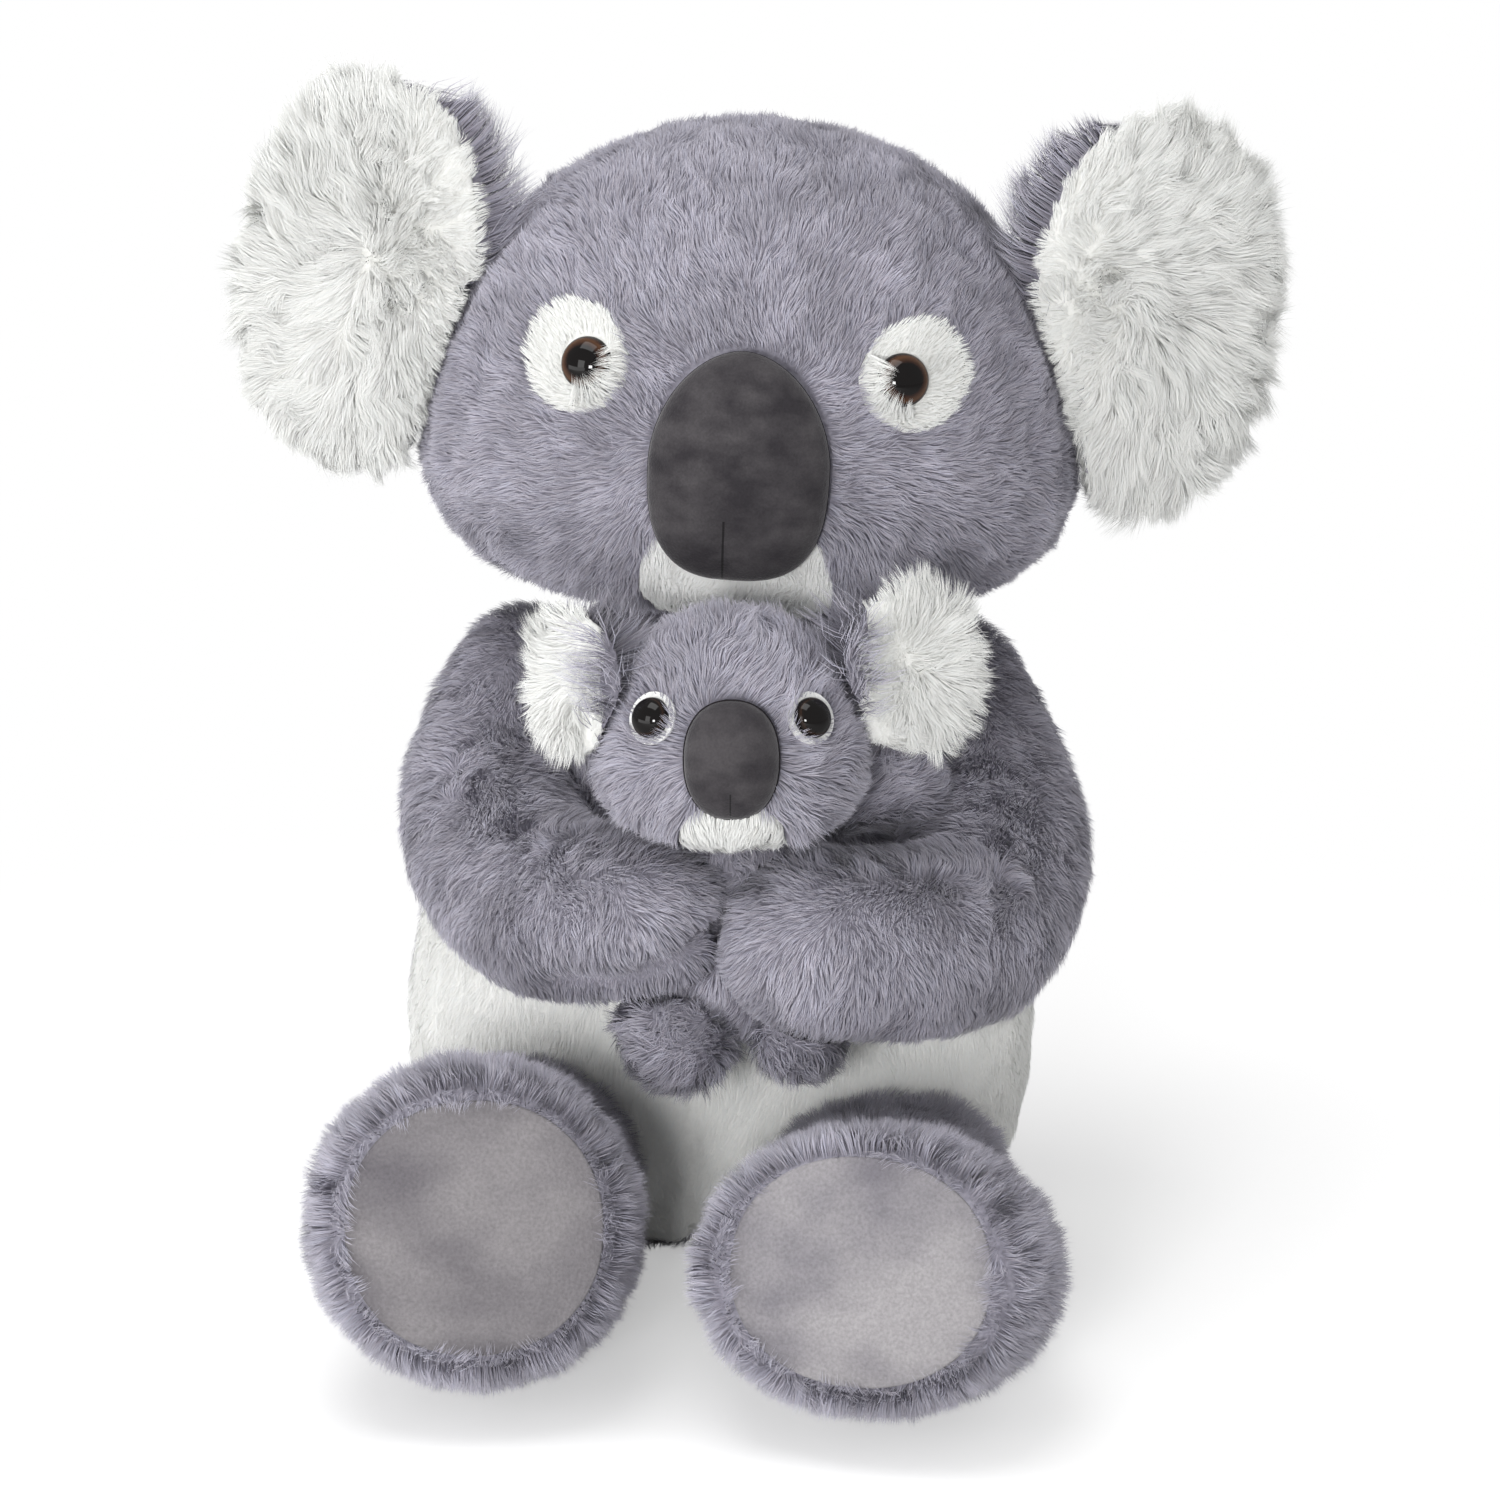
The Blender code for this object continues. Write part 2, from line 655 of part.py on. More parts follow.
# Legs: stuffed tubes that swell into round feet with a sole let into a soft roll
def leg_maker(side):
    shares = leg_left_x_shares if side < 0 else leg_right_x_shares
    length = leg_left_length if side < 0 else leg_right_length
    wide = foot_left_width if side < 0 else foot_right_width
    high = foot_left_height if side < 0 else foot_right_height
    points, sizes = [], []
    rises = leg_left_rise_shares if side < 0 else leg_right_rise_shares
    for x, along, rise, radius in zip(shares, leg_along_shares, rises, leg_radius_shares):
        y = -leg_start_forward - along * length
        points.append(Vector((x * torso_width / 2, y, rise * length)))
        sizes.append((radius * wide / 2, radius * high / 2))
    face = (foot_roll_share * high, foot_face_share)
    probe = limb("probe", points, sizes, 0, limb_sides, 2, face)
    lift = -floor_flat - min(v.co.z for v in probe.data.vertices)
    bpy.data.objects.remove(probe, do_unlink=True)
    points = [p + Vector((0, 0, lift)) for p in points]
    return lambda extra: limb("leg", points, sizes, extra, limb_sides, 2, face)


legs = []
for side, hand in ((-1, "left"), (1, "right")):
    pivot = hug_point(side * hip_axis_x_share, -hip_axis_y_share, 0)
    make = leg_maker(side)
    leg = make(0)
    end = list(leg["end"])
    spot, aim = Vector(end[:3]), Vector(end[3:])
    high = foot_left_height if side < 0 else foot_right_height
    sole_size = (sole_left_width, sole_left_height)
    if side > 0:
        sole_size = (sole_right_width, sole_right_height)
    middle = spot + aim * (foot_roll_share * high + sole_stand - sole_thickness / 2)
    facing = Matrix.Translation(middle) @ aim.to_track_quat("-Y", "Z").to_matrix().to_4x4()
    sole = pad("sole", *sole_size, sole_thickness, sole_radius_shares, 0, round_sides)
    bed = pad("bed", *sole_size, sole_thickness, sole_radius_shares, seam_gap, round_sides)
    sole.data.transform(facing)
    bed.data.transform(facing)
    spread_angles = steps_to(0, side * leg_swing_angle)
    carve(leg, [floor_block(), bed] + swung(torso_form, swing_gap, pivot, "Z", spread_angles))
    legs.append(([dress(leg, "leg_" + hand, grey), dress(sole, "sole_" + hand, rose_grey)], pivot))


# Baby: a small koala stitched to the belly, held by both arms
baby_middle = Vector((baby_side_shift, 0, 0))
baby_head_seat = hug_point(0, baby_head_y_share, baby_head_z_share) + baby_middle
baby_body_seat = hug_point(0, baby_body_y_share, baby_body_z_share) + baby_middle
baby_head_place = Matrix.Translation(baby_head_seat)
baby_body_place = Matrix.Translation(baby_body_seat)
baby_body_size = Vector((baby_body_width, baby_body_depth, baby_body_height))


def baby_head_blank(extra):
    shares = (head_height_shares, head_width_shares, head_depth_shares)
    size = (baby_head_width, baby_head_depth, baby_head_height)
    return stacked("baby_head", size, shares, extra, limb_sides)


def baby_head_form(extra):
    made = baby_head_blank(extra)
    made.data.transform(baby_head_place)
    return made


def baby_body_form(extra):
    shares = (head_height_shares, head_width_shares, head_depth_shares)
    made = stacked("baby_body", baby_body_size, shares, extra, limb_sides)
    made.data.transform(baby_body_place)
    return made


def arms_in_reach(extra=swing_gap):
    """Both arms in each place that they take, as tools for what they hold."""
    tools = []
    for make, pivot, angles in arm_tools.values():
        tools += swung(make, extra, pivot, "Z", angles[::2] + angles[-1:])
    return tools


def baby_limb(name, side_index, tables, diameter, extra):
    """An arm or a leg of the baby, from shares of its body's half width, depth and height."""
    points = []
    for x, y, z in zip(*(table[side_index] for table in tables)):
        points.append(baby_body_place @ (Vector((x / 2, y, z)) * baby_body_size))
    sizes = [(diameter / 2, diameter / 2)] * len(points)
    return limb(name, points, sizes, extra, small_sides)


mother_head = swung(head_form, swing_gap, neck, "X", [-a for a in nod_angles[::2]])
baby_head = baby_head_form(0)
carve(baby_head, arms_in_reach() + mother_head)
baby_body = baby_body_form(0)
carve(baby_body, arms_in_reach() + [torso_form(seam_gap), baby_head_form(seam_gap)])

baby_blank = baby_head_blank(0)
nose_spot = surface_spot(baby_blank, 0, baby_nose_z_share * baby_head_height)
baby_nose = dome("nose", baby_nose_width, baby_nose_height, baby_nose_stand, nose_spot)
carve(baby_nose, [baby_head_blank(patch_rise + seam_gap)])
baby_nose.data.transform(baby_head_place)
chin_z = baby_chin_z_share * baby_head_height
chin_size = (baby_chin_width, baby_chin_height)
baby_chin, baby_chin_bed = patch(baby_head_blank, *chin_size, 0, chin_z, baby_head_place)
carve(baby_chin, arms_in_reach() + [baby_body_form(seam_gap)])
carve(baby_head, [baby_chin_bed])
dress(baby_nose, "baby_nose", charcoal)
dress(baby_chin, "baby_chin_patch", white)
for side, hand in ((-1, "left"), (1, "right")):
    x, z = side * baby_eye_x_share * baby_head_width, baby_eye_z_share * baby_head_height
    spot = surface_spot(baby_blank, x, z)
    out = outward(baby_blank, spot, baby_eye_diameter / 2)
    sunk = spot - out * (baby_ring_thickness - patch_rise)
    place = baby_head_place @ aim_at(sunk, out)
    half, shank = baby_ring_diameter / 2, shank_diameter / 2 + seam_gap
    rise = baby_ring_thickness
    ring = turned("ring", [(0, 0), (half, 0), (half, rise), (0, rise)], round_sides, place)
    hole = [(0, -overrun), (shank, -overrun), (shank, overrun), (0, overrun)]
    carve(ring, [turned("hole", hole, round_sides, place)])
    lowered = [(0, -seam_gap), (half + seam_gap, -seam_gap), (half + seam_gap, overrun), (0, overrun)]
    eye_place = place @ Matrix.Translation((0, 0, rise + seam_gap))
    eye, washer, eye_bed = safety_eye(baby_eye_diameter, baby_eye_dome_height, eye_place)
    carve(baby_head, [turned("ring_bed", lowered, round_sides, place), eye_bed])
    dress(ring, "baby_eye_ring_" + hand, felt)
    dress(eye, "baby_eye_" + hand, glossy)
    dress(washer, "baby_eye_washer_" + hand, plain)
bpy.data.objects.remove(baby_blank, do_unlink=True)

for index, hand in ((0, "left"), (1, "right")):
    middle = Vector((baby_ear_x_shares[index] * baby_head_width, 0, 0))
    middle.z = baby_ear_z_shares[index] * baby_head_height
    turn = Matrix.Rotation(baby_ear_turn_angles[index], 4, "Z")
    place = baby_head_place @ Matrix.Translation(middle) @ turn
    wide, tall = baby_ear_widths[index], baby_ear_heights[index]
    whole = pad("ear", wide, tall, baby_ear_thickness, ear_radius_shares, 0, limb_sides)
    whole.data.transform(place)
    tools = swung(head_form, swing_gap, neck, "X", [-a for a in nod_angles[::2]])
    carve(whole, [baby_head_form(seam_gap)] + arms_in_reach() + tools)
    for front, label, wear in ((True, "front", white), (False, "back", grey)):
        reach = tall
        low = (-reach, -reach, -reach) if front else (-reach, seam_gap / 2, -reach)
        high = (reach, -seam_gap / 2, reach) if front else (reach, reach, reach)
        keep = block("half", low, high)
        keep.data.transform(place)
        dress(carve(copy_of(whole), [keep], "INTERSECT"), "baby_ear_" + label + "_" + hand, wear)
    bpy.data.objects.remove(whole, do_unlink=True)

    arm_tables = (baby_arm_x_shares, baby_arm_y_shares, baby_arm_z_shares)
    arm = baby_limb("baby_arm", index, arm_tables, baby_arm_diameter, 0)
    tools = [torso_form(seam_gap), baby_body_form(seam_gap), baby_head_form(seam_gap)]
    carve(arm, tools + arms_in_reach())
    dress(arm, "baby_arm_" + hand, grey)
    leg_tables = (baby_leg_x_shares, baby_leg_y_shares, baby_leg_z_shares)
    leg = baby_limb("baby_leg", index, leg_tables, baby_leg_diameters[index], 0)
    carve(leg, [torso_form(seam_gap), baby_body_form(seam_gap)] + arms_in_reach())
    dress(leg, "baby_leg_" + hand, grey)

dress(baby_head, "baby_head", grey)
dress(baby_body, "baby_body", grey)
dress(torso, "torso", grey)
dress(belly_panel, "belly_panel", white)

# Each swinging piece takes its origin from its joint
for piece in head_parts:
    hang(piece, neck)
for halves, root in ears:
    for half in halves:
        hang(half, root)
for arm, pivot in arms.values():
    hang(arm, pivot)
for pieces, pivot in legs:
    for piece in pieces:
        hang(piece, pivot)
    print("hip axis", [round(v, 6) for v in pivot])
print("neck axis", [round(v, 6) for v in neck])
for side in (-1, 1):
    root, line = ear_seam(side)
    print("ear axis", [round(v, 6) for v in root], [round(v, 6) for v in line])
    print("shoulder axis", [round(v, 6) for v in arms[side][1]])
for piece in bpy.data.objects:
    loops = sum(len(p.vertices) - 2 for p in piece.data.polygons)
    print(piece.name, loops)
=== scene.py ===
"""Sitting plush koala that hugs a baby koala, in long-pile plush, velour and glossy plastic.

Each stuffed form has a closed cloth skin, a little inside its solid, and a coat of pile strands that
root on the skin. Left and right are those of a person who faces the toy.
"""

import math

import bmesh
import bpy
import numpy as np
from mathutils import Matrix, Vector
from mathutils.bvhtree import BVHTree
from mathutils.kdtree import KDTree


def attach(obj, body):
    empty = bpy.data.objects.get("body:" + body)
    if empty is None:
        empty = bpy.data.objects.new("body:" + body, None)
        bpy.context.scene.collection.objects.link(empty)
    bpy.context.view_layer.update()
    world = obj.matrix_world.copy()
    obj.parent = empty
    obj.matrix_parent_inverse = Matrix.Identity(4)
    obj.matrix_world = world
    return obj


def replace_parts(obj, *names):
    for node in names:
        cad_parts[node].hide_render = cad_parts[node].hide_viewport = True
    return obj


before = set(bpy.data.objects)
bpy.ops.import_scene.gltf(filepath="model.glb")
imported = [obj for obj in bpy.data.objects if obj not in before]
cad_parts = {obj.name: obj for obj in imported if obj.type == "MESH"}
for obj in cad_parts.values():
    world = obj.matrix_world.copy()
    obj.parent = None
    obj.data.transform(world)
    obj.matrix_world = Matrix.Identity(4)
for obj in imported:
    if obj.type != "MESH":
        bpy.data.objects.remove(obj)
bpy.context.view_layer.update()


# Torso: a pear of grey plush, sewn from panels, turned and filled with fibre. Its cloth backing is
# knitted, and the pile stands on it and lies downwards. It sits flat under its own weight.
knit_fineness = 0.004
knit_draw_in = 0.003
pile_density = 900000
# The grey's root, middle and tip; the darker root is painted shade deep in the pile.
grey_shades = ((0.24, 0.23, 0.275), (0.365, 0.352, 0.42), (0.56, 0.545, 0.62))
pile_columns = pile_rows = 32


def plain_shader(name, roughness, sheen, specular):
    """A new material, its tree and its shader, with the finish set on the shader's own sockets."""
    made = bpy.data.materials.new(name)
    made.use_nodes = True
    shader = made.node_tree.nodes["Principled BSDF"]
    shader.inputs["Roughness"].default_value = roughness
    shader.inputs["Sheen Weight"].default_value = sheen
    shader.inputs["Sheen Roughness"].default_value = 0.45
    shader.inputs["Specular IOR Level"].default_value = specular
    return made, made.node_tree, shader


def sums(tree, operation, first, second=None):
    """A sum of one or two values, each a socket or a number."""
    node = tree.nodes.new("ShaderNodeMath")
    node.operation = operation
    for entry, value in zip(node.inputs, (first, second)):
        if isinstance(value, (int, float)):
            entry.default_value = value
        elif value is not None:
            tree.links.new(value, entry)
    return node.outputs[0]


def ramp(tree, factor, stops):
    """A run of colours along a factor."""
    node = tree.nodes.new("ShaderNodeValToRGB")
    band = node.color_ramp
    while len(band.elements) < len(stops):
        band.elements.new(0.5)
    for element, (place, colour) in zip(band.elements, stops):
        element.position = place
        element.color = (*colour, 1)
    tree.links.new(factor, node.inputs[0])
    return node.outputs[0]


def times(tree, first, second):
    """Two colours multiplied."""
    node = tree.nodes.new("ShaderNodeVectorMath")
    node.operation = "MULTIPLY"
    tree.links.new(first, node.inputs[0])
    tree.links.new(second, node.inputs[1])
    return node.outputs[0]


def noise(tree, scale, detail=3.0, stretch=(1, 1, 1)):
    """Noise fixed to the piece, so many to the metre, stretched along its axes."""
    place = tree.nodes.new("ShaderNodeTexCoord")
    scaled = tree.nodes.new("ShaderNodeVectorMath")
    scaled.operation = "MULTIPLY"
    scaled.inputs[1].default_value = stretch
    tree.links.new(place.outputs["Object"], scaled.inputs[0])
    node = tree.nodes.new("ShaderNodeTexNoise")
    node.inputs["Scale"].default_value = scale
    node.inputs["Detail"].default_value = detail
    tree.links.new(scaled.outputs[0], node.inputs["Vector"])
    return node.outputs["Fac"]


def bumped(tree, shader, height, distance, strength=1.0):
    bump = tree.nodes.new("ShaderNodeBump")
    bump.inputs["Strength"].default_value = strength
    bump.inputs["Distance"].default_value = distance
    tree.links.new(height, bump.inputs["Height"])
    tree.links.new(bump.outputs[0], shader.inputs["Normal"])


def pile_material(name, shades, darkest, lightest, warmth):
    """Pile strands: shades for the root, middle and tip, and each strand with its own tone. The root
    is darker than the tip as painted shade deep in the pile.
    """
    root, middle, tip = shades
    made, tree, shader = plain_shader(name, 0.65, 0.15, 0.3)
    chart = tree.nodes.new("ShaderNodeUVMap")
    chart.uv_map = "OFBake"
    parts = tree.nodes.new("ShaderNodeSeparateXYZ")
    tree.links.new(chart.outputs[0], parts.inputs[0])
    rows = sums(tree, "MULTIPLY", parts.outputs[1], float(pile_rows))
    tone = sums(tree, "DIVIDE", sums(tree, "FLOOR", rows), float(pile_rows))
    columns = sums(tree, "MULTIPLY", parts.outputs[0], float(pile_columns))
    hue = sums(tree, "DIVIDE", sums(tree, "FLOOR", columns), float(pile_columns))
    # Darker at the root than at the tip: painted shade deep in the pile.
    colour = ramp(tree, sums(tree, "FRACT", rows), [(0.08, root), (0.42, middle), (0.92, tip)])
    dark, light = (darkest,) * 3, (lightest,) * 3
    colour = times(tree, colour, ramp(tree, tone, [(0.0, dark), (1.0, light)]))
    warm, cool = (1.0, 1.0 - warmth / 2, 1.0 - warmth), (1.0 - warmth, 1.0 - warmth / 2, 1.0)
    colour = times(tree, colour, ramp(tree, hue, [(0.0, warm), (1.0, cool)]))
    tree.links.new(colour, shader.inputs["Base Color"])
    return made


def knit_material(name, dark, light):
    """The knitted backing that shows between the strands: a fine mottle with a small bump."""
    made, tree, shader = plain_shader(name, 0.9, 0.1, 0.2)
    mottle = noise(tree, 420.0)
    tree.links.new(ramp(tree, mottle, [(0.3, dark), (0.7, light)]), shader.inputs["Base Color"])
    bumped(tree, shader, mottle, 0.0008, 0.5)
    return made


def spots_of(mesh):
    spots = np.empty(len(mesh.vertices) * 3)
    mesh.vertices.foreach_get("co", spots)
    return spots.reshape(-1, 3)


def outs_of(mesh):
    outs = np.empty(len(mesh.vertices) * 3)
    mesh.vertex_normals.foreach_get("vector", outs)
    return outs.reshape(-1, 3)


def unit(ways):
    return ways / np.maximum(np.linalg.norm(ways, axis=1), 1e-9)[:, None]


def solids(names):
    """One mesh of the named solids."""
    joined = bmesh.new()
    for name in names:
        joined.from_mesh(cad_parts[name].data)
    mesh = bpy.data.meshes.new("solids")
    joined.to_mesh(mesh)
    joined.free()
    return mesh


def faces_of(mesh):
    """The faces of a mesh, to measure distances from."""
    corners = [tuple(v.co) for v in mesh.vertices]
    return BVHTree.FromPolygons(corners, [tuple(p.vertices) for p in mesh.polygons])


def surface_of(names):
    """The surfaces of the named solids, to measure distances from."""
    mesh = solids(names)
    made = faces_of(mesh)
    bpy.data.meshes.remove(mesh)
    return made


def put(name, mesh, material, body):
    """A new piece, smooth all over, that rides on a body."""
    made = bpy.data.objects.new(name, mesh)
    bpy.context.collection.objects.link(made)
    mesh.name = name
    mesh.materials.clear()
    mesh.materials.append(material)
    mesh.shade_smooth()
    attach(made, body)
    return made


def knitted(nodes, fineness, evenings, draw_in):
    """A closed mesh over the named solids, knitted anew, evened out and drawn in."""
    rough = bpy.data.objects.new("rough", solids(nodes))
    bpy.context.collection.objects.link(rough)
    knit = rough.modifiers.new("knit", "REMESH")
    knit.mode = "VOXEL"
    knit.voxel_size = fineness
    even = rough.modifiers.new("even", "SMOOTH")
    even.factor = 0.5
    even.iterations = evenings
    bpy.context.view_layer.update()
    shaped = rough.evaluated_get(bpy.context.evaluated_depsgraph_get())
    mesh = bpy.data.meshes.new_from_object(shaped)
    bpy.data.objects.remove(rough, do_unlink=True)
    mesh.vertices.foreach_set("co", (spots_of(mesh) - outs_of(mesh) * draw_in).ravel())
    mesh.update()
    return mesh


def roots_on(mesh, density, seed):
    """Evenly spread points on a mesh, so many to the square metre, with the way out at each."""
    spots, outs = spots_of(mesh), outs_of(mesh)
    mesh.calc_loop_triangles()
    corners = np.empty(len(mesh.loop_triangles) * 3, dtype=np.int32)
    mesh.loop_triangles.foreach_get("vertices", corners)
    corners = corners.reshape(-1, 3)
    a, b, c = spots[corners[:, 0]], spots[corners[:, 1]], spots[corners[:, 2]]
    areas = np.linalg.norm(np.cross(b - a, c - a), axis=1) / 2
    count = int(areas.sum() * density)
    run = np.cumsum(areas) / areas.sum()
    dice = np.random.default_rng(seed)
    pick = np.searchsorted(run, (np.arange(count) + dice.random(count)) / count)
    pick = np.minimum(pick, len(run) - 1)
    u, v = dice.random(count), dice.random(count)
    over = u + v > 1
    u, v = np.where(over, 1 - u, u), np.where(over, 1 - v, v)
    shares = np.stack([1 - u - v, u, v], axis=1)[:, :, None]
    roots = (spots[corners[pick]] * shares).sum(axis=1)
    return roots, unit((outs[corners[pick]] * shares).sum(axis=1))


def chosen(spread, mask):
    """Those roots of a spread that a mask keeps."""
    return spread[0][mask], spread[1][mask]


def drift(points, size, seed):
    """A smooth random push in three directions, each from -1 to 1, that changes over a size."""
    table = np.random.default_rng(seed).uniform(-1, 1, (4096, 3))
    grid = points / size
    low = np.floor(grid).astype(np.int64)
    part = grid - low
    part = part * part * (3 - 2 * part)
    total = np.zeros_like(points)
    for corner in np.ndindex(2, 2, 2):
        at = low + corner
        key = (at[:, 0] * 73856093 ^ at[:, 1] * 19349663 ^ at[:, 2] * 83492791) & 4095
        weight = np.prod(np.where(np.array(corner) == 1, part, 1 - part), axis=1)
        total += table[key] * weight[:, None]
    return total


def under(spread, surface, reach):
    """Which roots have a surface over them, within reach along their way out."""
    pairs = zip(*(v.tolist() for v in spread))
    return np.array([surface.ray_cast(spot, out, reach)[0] is not None for spot, out in pairs], dtype=bool)


def free_run(roots, ways, surface, lengths):
    """How far each strand can run before it meets a neighbour."""
    free = lengths.copy()
    for k, (spot, way, reach) in enumerate(zip(roots.tolist(), ways.tolist(), lengths.tolist())):
        gap = surface.ray_cast(spot, way, reach)[3]
        if gap is not None:
            free[k] = gap
    return free


def strand_mesh(name, base, middle, tip, side, outs, width, tone, dice):
    """Tapered ribbons of two lengths, each with a cell of its own tone in the map."""
    count = len(base)
    half = side * (width / 2)[:, None]
    spots = np.stack([base - half, base + half, middle + half * 0.8, middle - half * 0.8, tip], axis=1)
    front = np.cross(spots[:, 1] - spots[:, 0], spots[:, 3] - spots[:, 0])
    turned = (front * outs).sum(axis=1) < 0
    spots[turned] = spots[turned][:, [1, 0, 3, 2, 4]]
    front = unit(np.where(turned[:, None], -front, front))
    bend = unit(outs * 0.8 + front * 0.35)
    mesh = bpy.data.meshes.new(name)
    mesh.vertices.add(count * 5)
    mesh.vertices.foreach_set("co", spots.reshape(-1))
    mesh.loops.add(count * 7)
    corners = np.arange(count)[:, None] * 5 + np.array([0, 1, 2, 3, 3, 2, 4])
    mesh.loops.foreach_set("vertex_index", corners.astype(np.int32).ravel())
    mesh.polygons.add(count * 2)
    starts = np.arange(count)[:, None] * 7 + np.array([0, 4])
    mesh.polygons.foreach_set("loop_start", starts.astype(np.int32).ravel())
    mesh.update(calc_edges=True)
    row = np.clip((tone * pile_rows).astype(int), 0, pile_rows - 1)
    column = dice.integers(0, pile_columns, count)
    across = np.array([0.2, 0.8, 0.7, 0.3, 0.3, 0.7, 0.5])
    up = np.array([0.06, 0.06, 0.5, 0.5, 0.5, 0.5, 0.94])
    chart = [(column[:, None] + across) / pile_columns, (row[:, None] + up) / pile_rows]
    layer = mesh.uv_layers.new(name="OFBake")
    layer.uv.foreach_set("vector", np.stack(chart, axis=2).astype(np.float32).ravel())
    soft = mesh.attributes.new("custom_normal", "FLOAT_VECTOR", "POINT")
    soft.data.foreach_set("vector", np.repeat(bend, 5, axis=0).astype(np.float32).ravel())
    return mesh


def coat(name, spread, body, slot, material, comb, seed, length=0.0095, width=0.00045, lay=(0.35, 0.75),
         wild=0.3, stray=0.5, tuft=(12, 0.45), lifted=(0, 0, 0), beside=None, longer=None):
    """Pile on the given roots: tapered strands that lie along the comb and gather in tufts.

    The comb gives ways of length 1 at most; a shorter one presses the pile down less. lay is how far
    a strand leans over at its root and at its tip, wild and stray how far single strands and whole
    patches of pile turn off the comb. tuft is how many strands share a tuft and how close their tips
    come. lifted is how the sides of the strands turn to the light. beside is the surface of the
    neighbours, which strands stop at, and longer gives each strand a share of the length.
    """
    roots, outs = spread
    dice = np.random.default_rng(seed)
    flow = comb(roots, outs)
    press = np.minimum(np.linalg.norm(flow, axis=1), 1)[:, None]
    flow = unit(flow) + drift(roots, 0.032, seed + 1) * stray + drift(roots, 0.011, seed + 5) * stray * 0.8
    flow = unit(flow - outs * (flow * outs).sum(axis=1)[:, None])
    swirl = drift(roots, 0.008, seed + 2) * wild + dice.normal(size=roots.shape) * wild * 0.3
    first = unit(outs * (1 - lay[0] * press) + flow * lay[0] * press + swirl * 0.5)
    last = unit(outs * (1 - lay[1] * press) + flow * lay[1] * press + swirl)
    lengths = length * dice.uniform(0.75, 1.15, len(roots))
    lengths *= 1 + 0.18 * drift(roots, 0.012, seed + 3)[:, 0]
    if longer is not None:
        lengths *= longer(roots, outs)
    if beside is not None:
        free = free_run(roots, unit(first + last), beside, lengths)
        crowded = free < lengths
        lengths = np.where(crowded, np.maximum(free - 0.0004, 0.0018), lengths)
        stay = ~(crowded & (free < 0.0045)) | (dice.random(len(roots)) < 0.3)
        roots, outs, flow, first, last, lengths = (v[stay] for v in (roots, outs, flow, first, last, lengths))
    count = len(roots)
    base = roots - outs * 0.0006
    middle = base + first * (lengths * 0.5)[:, None]
    tip = middle + last * (lengths * 0.5)[:, None]

    leaders = dice.permutation(count)[: max(4, count // tuft[0])]
    nest = KDTree(len(leaders))
    for k, spot in enumerate(roots[leaders].tolist()):
        nest.insert(spot, k)
    nest.balance()
    own = leaders[[nest.find(spot)[1] for spot in roots.tolist()]]
    gather = (tuft[1] * dice.uniform(0.4, 1.0, count))[:, None]
    tip = tip + (tip[own] - tip) * gather
    middle = middle + (middle[own] - middle) * gather * 0.4

    for spots in (base, middle, tip):
        spots[:, 2] = np.maximum(spots[:, 2], 0.0002)

    way = unit(tip - base)
    side = np.cross(way, outs)
    side = np.where((np.linalg.norm(side, axis=1) < 0.05)[:, None], np.cross(way, flow), side)
    side = unit(side)
    face = unit(np.cross(side, way))
    roll = dice.uniform(-0.7, 0.7, count)[:, None]
    side = side * np.cos(roll) + face * np.sin(roll)
    mottle = drift(roots, 0.024, seed + 4)[:, 0] * 0.35 + drift(roots, 0.007, seed + 6)[:, 0] * 0.3
    tone = 0.5 + mottle + dice.normal(0, 0.12, count)
    wide = width * dice.uniform(0.6, 1.2, count)
    mesh = strand_mesh(name, base, middle, tip, side, unit(outs + np.array(lifted)), wide, tone, dice)
    return put(name, mesh, material, body)


def by_fold(line, width, ease=0.012):
    """How near spots on the front are to a line of (x, z) points: 1 on it, fading at its ends."""

    def near(spots):
        share = np.zeros(len(spots))
        for (x, z), (far_x, far_z) in zip(line, line[1:]):
            way = np.array((far_x - x, far_z - z))
            span = np.linalg.norm(way)
            off = spots[:, (0, 2)] - (x, z)
            run = off @ way / span
            side = (off[:, 0] * way[1] - off[:, 1] * way[0]) / span
            ends = np.clip(np.minimum(run, span - run) / ease + 1, 0, 1)
            share = np.maximum(share, np.exp(-((side / width) ** 2)) * ends)
        return share

    return near


def dented(near, depth):
    """A fold pressed into the front of a skin."""
    return lambda spots, outs: spots - outs * (near(spots) * depth * (outs[:, 1] < 0))[:, None]


def pressed(piece, dent):
    """Moves the skin of a piece as a dent says."""
    spots = dent(spots_of(piece.data), outs_of(piece.data))
    piece.data.vertices.foreach_set("co", spots.ravel())
    piece.data.update()


def downward(roots, outs):
    """A comb that runs down and a little forward."""
    return np.tile((0.0, -0.15, -0.99), (len(roots), 1))


every_node = set(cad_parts)
grey_pile = pile_material("grey_pile_strands", grey_shades, 0.66, 1.22, 0.05)
grey_knit = knit_material("grey_knit", (0.20, 0.19, 0.23), (0.32, 0.31, 0.36))
torso_nodes = ["torso", "belly_panel"]
torso_skin = put("torso_skin", knitted(torso_nodes, knit_fineness, 8, knit_draw_in), grey_knit,
                 "torso")
belly_seam = by_fold([(-0.0126, 0.145), (-0.0126, 0.0)], 0.0035)
pressed(torso_skin, dented(belly_seam, 0.0035))
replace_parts(torso_skin, "torso")
torso_roots = roots_on(torso_skin.data, pile_density, 11)
panel = surface_of(["belly_panel"])
panel_turn, panel_floor = 0.10, -0.6


def panel_end(x):
    """How high the white reaches: behind the arms at the sides, and lower behind the baby."""
    return 0.188 + 0.037 * np.clip((np.abs(x) - 0.09) / 0.03, 0, 1)


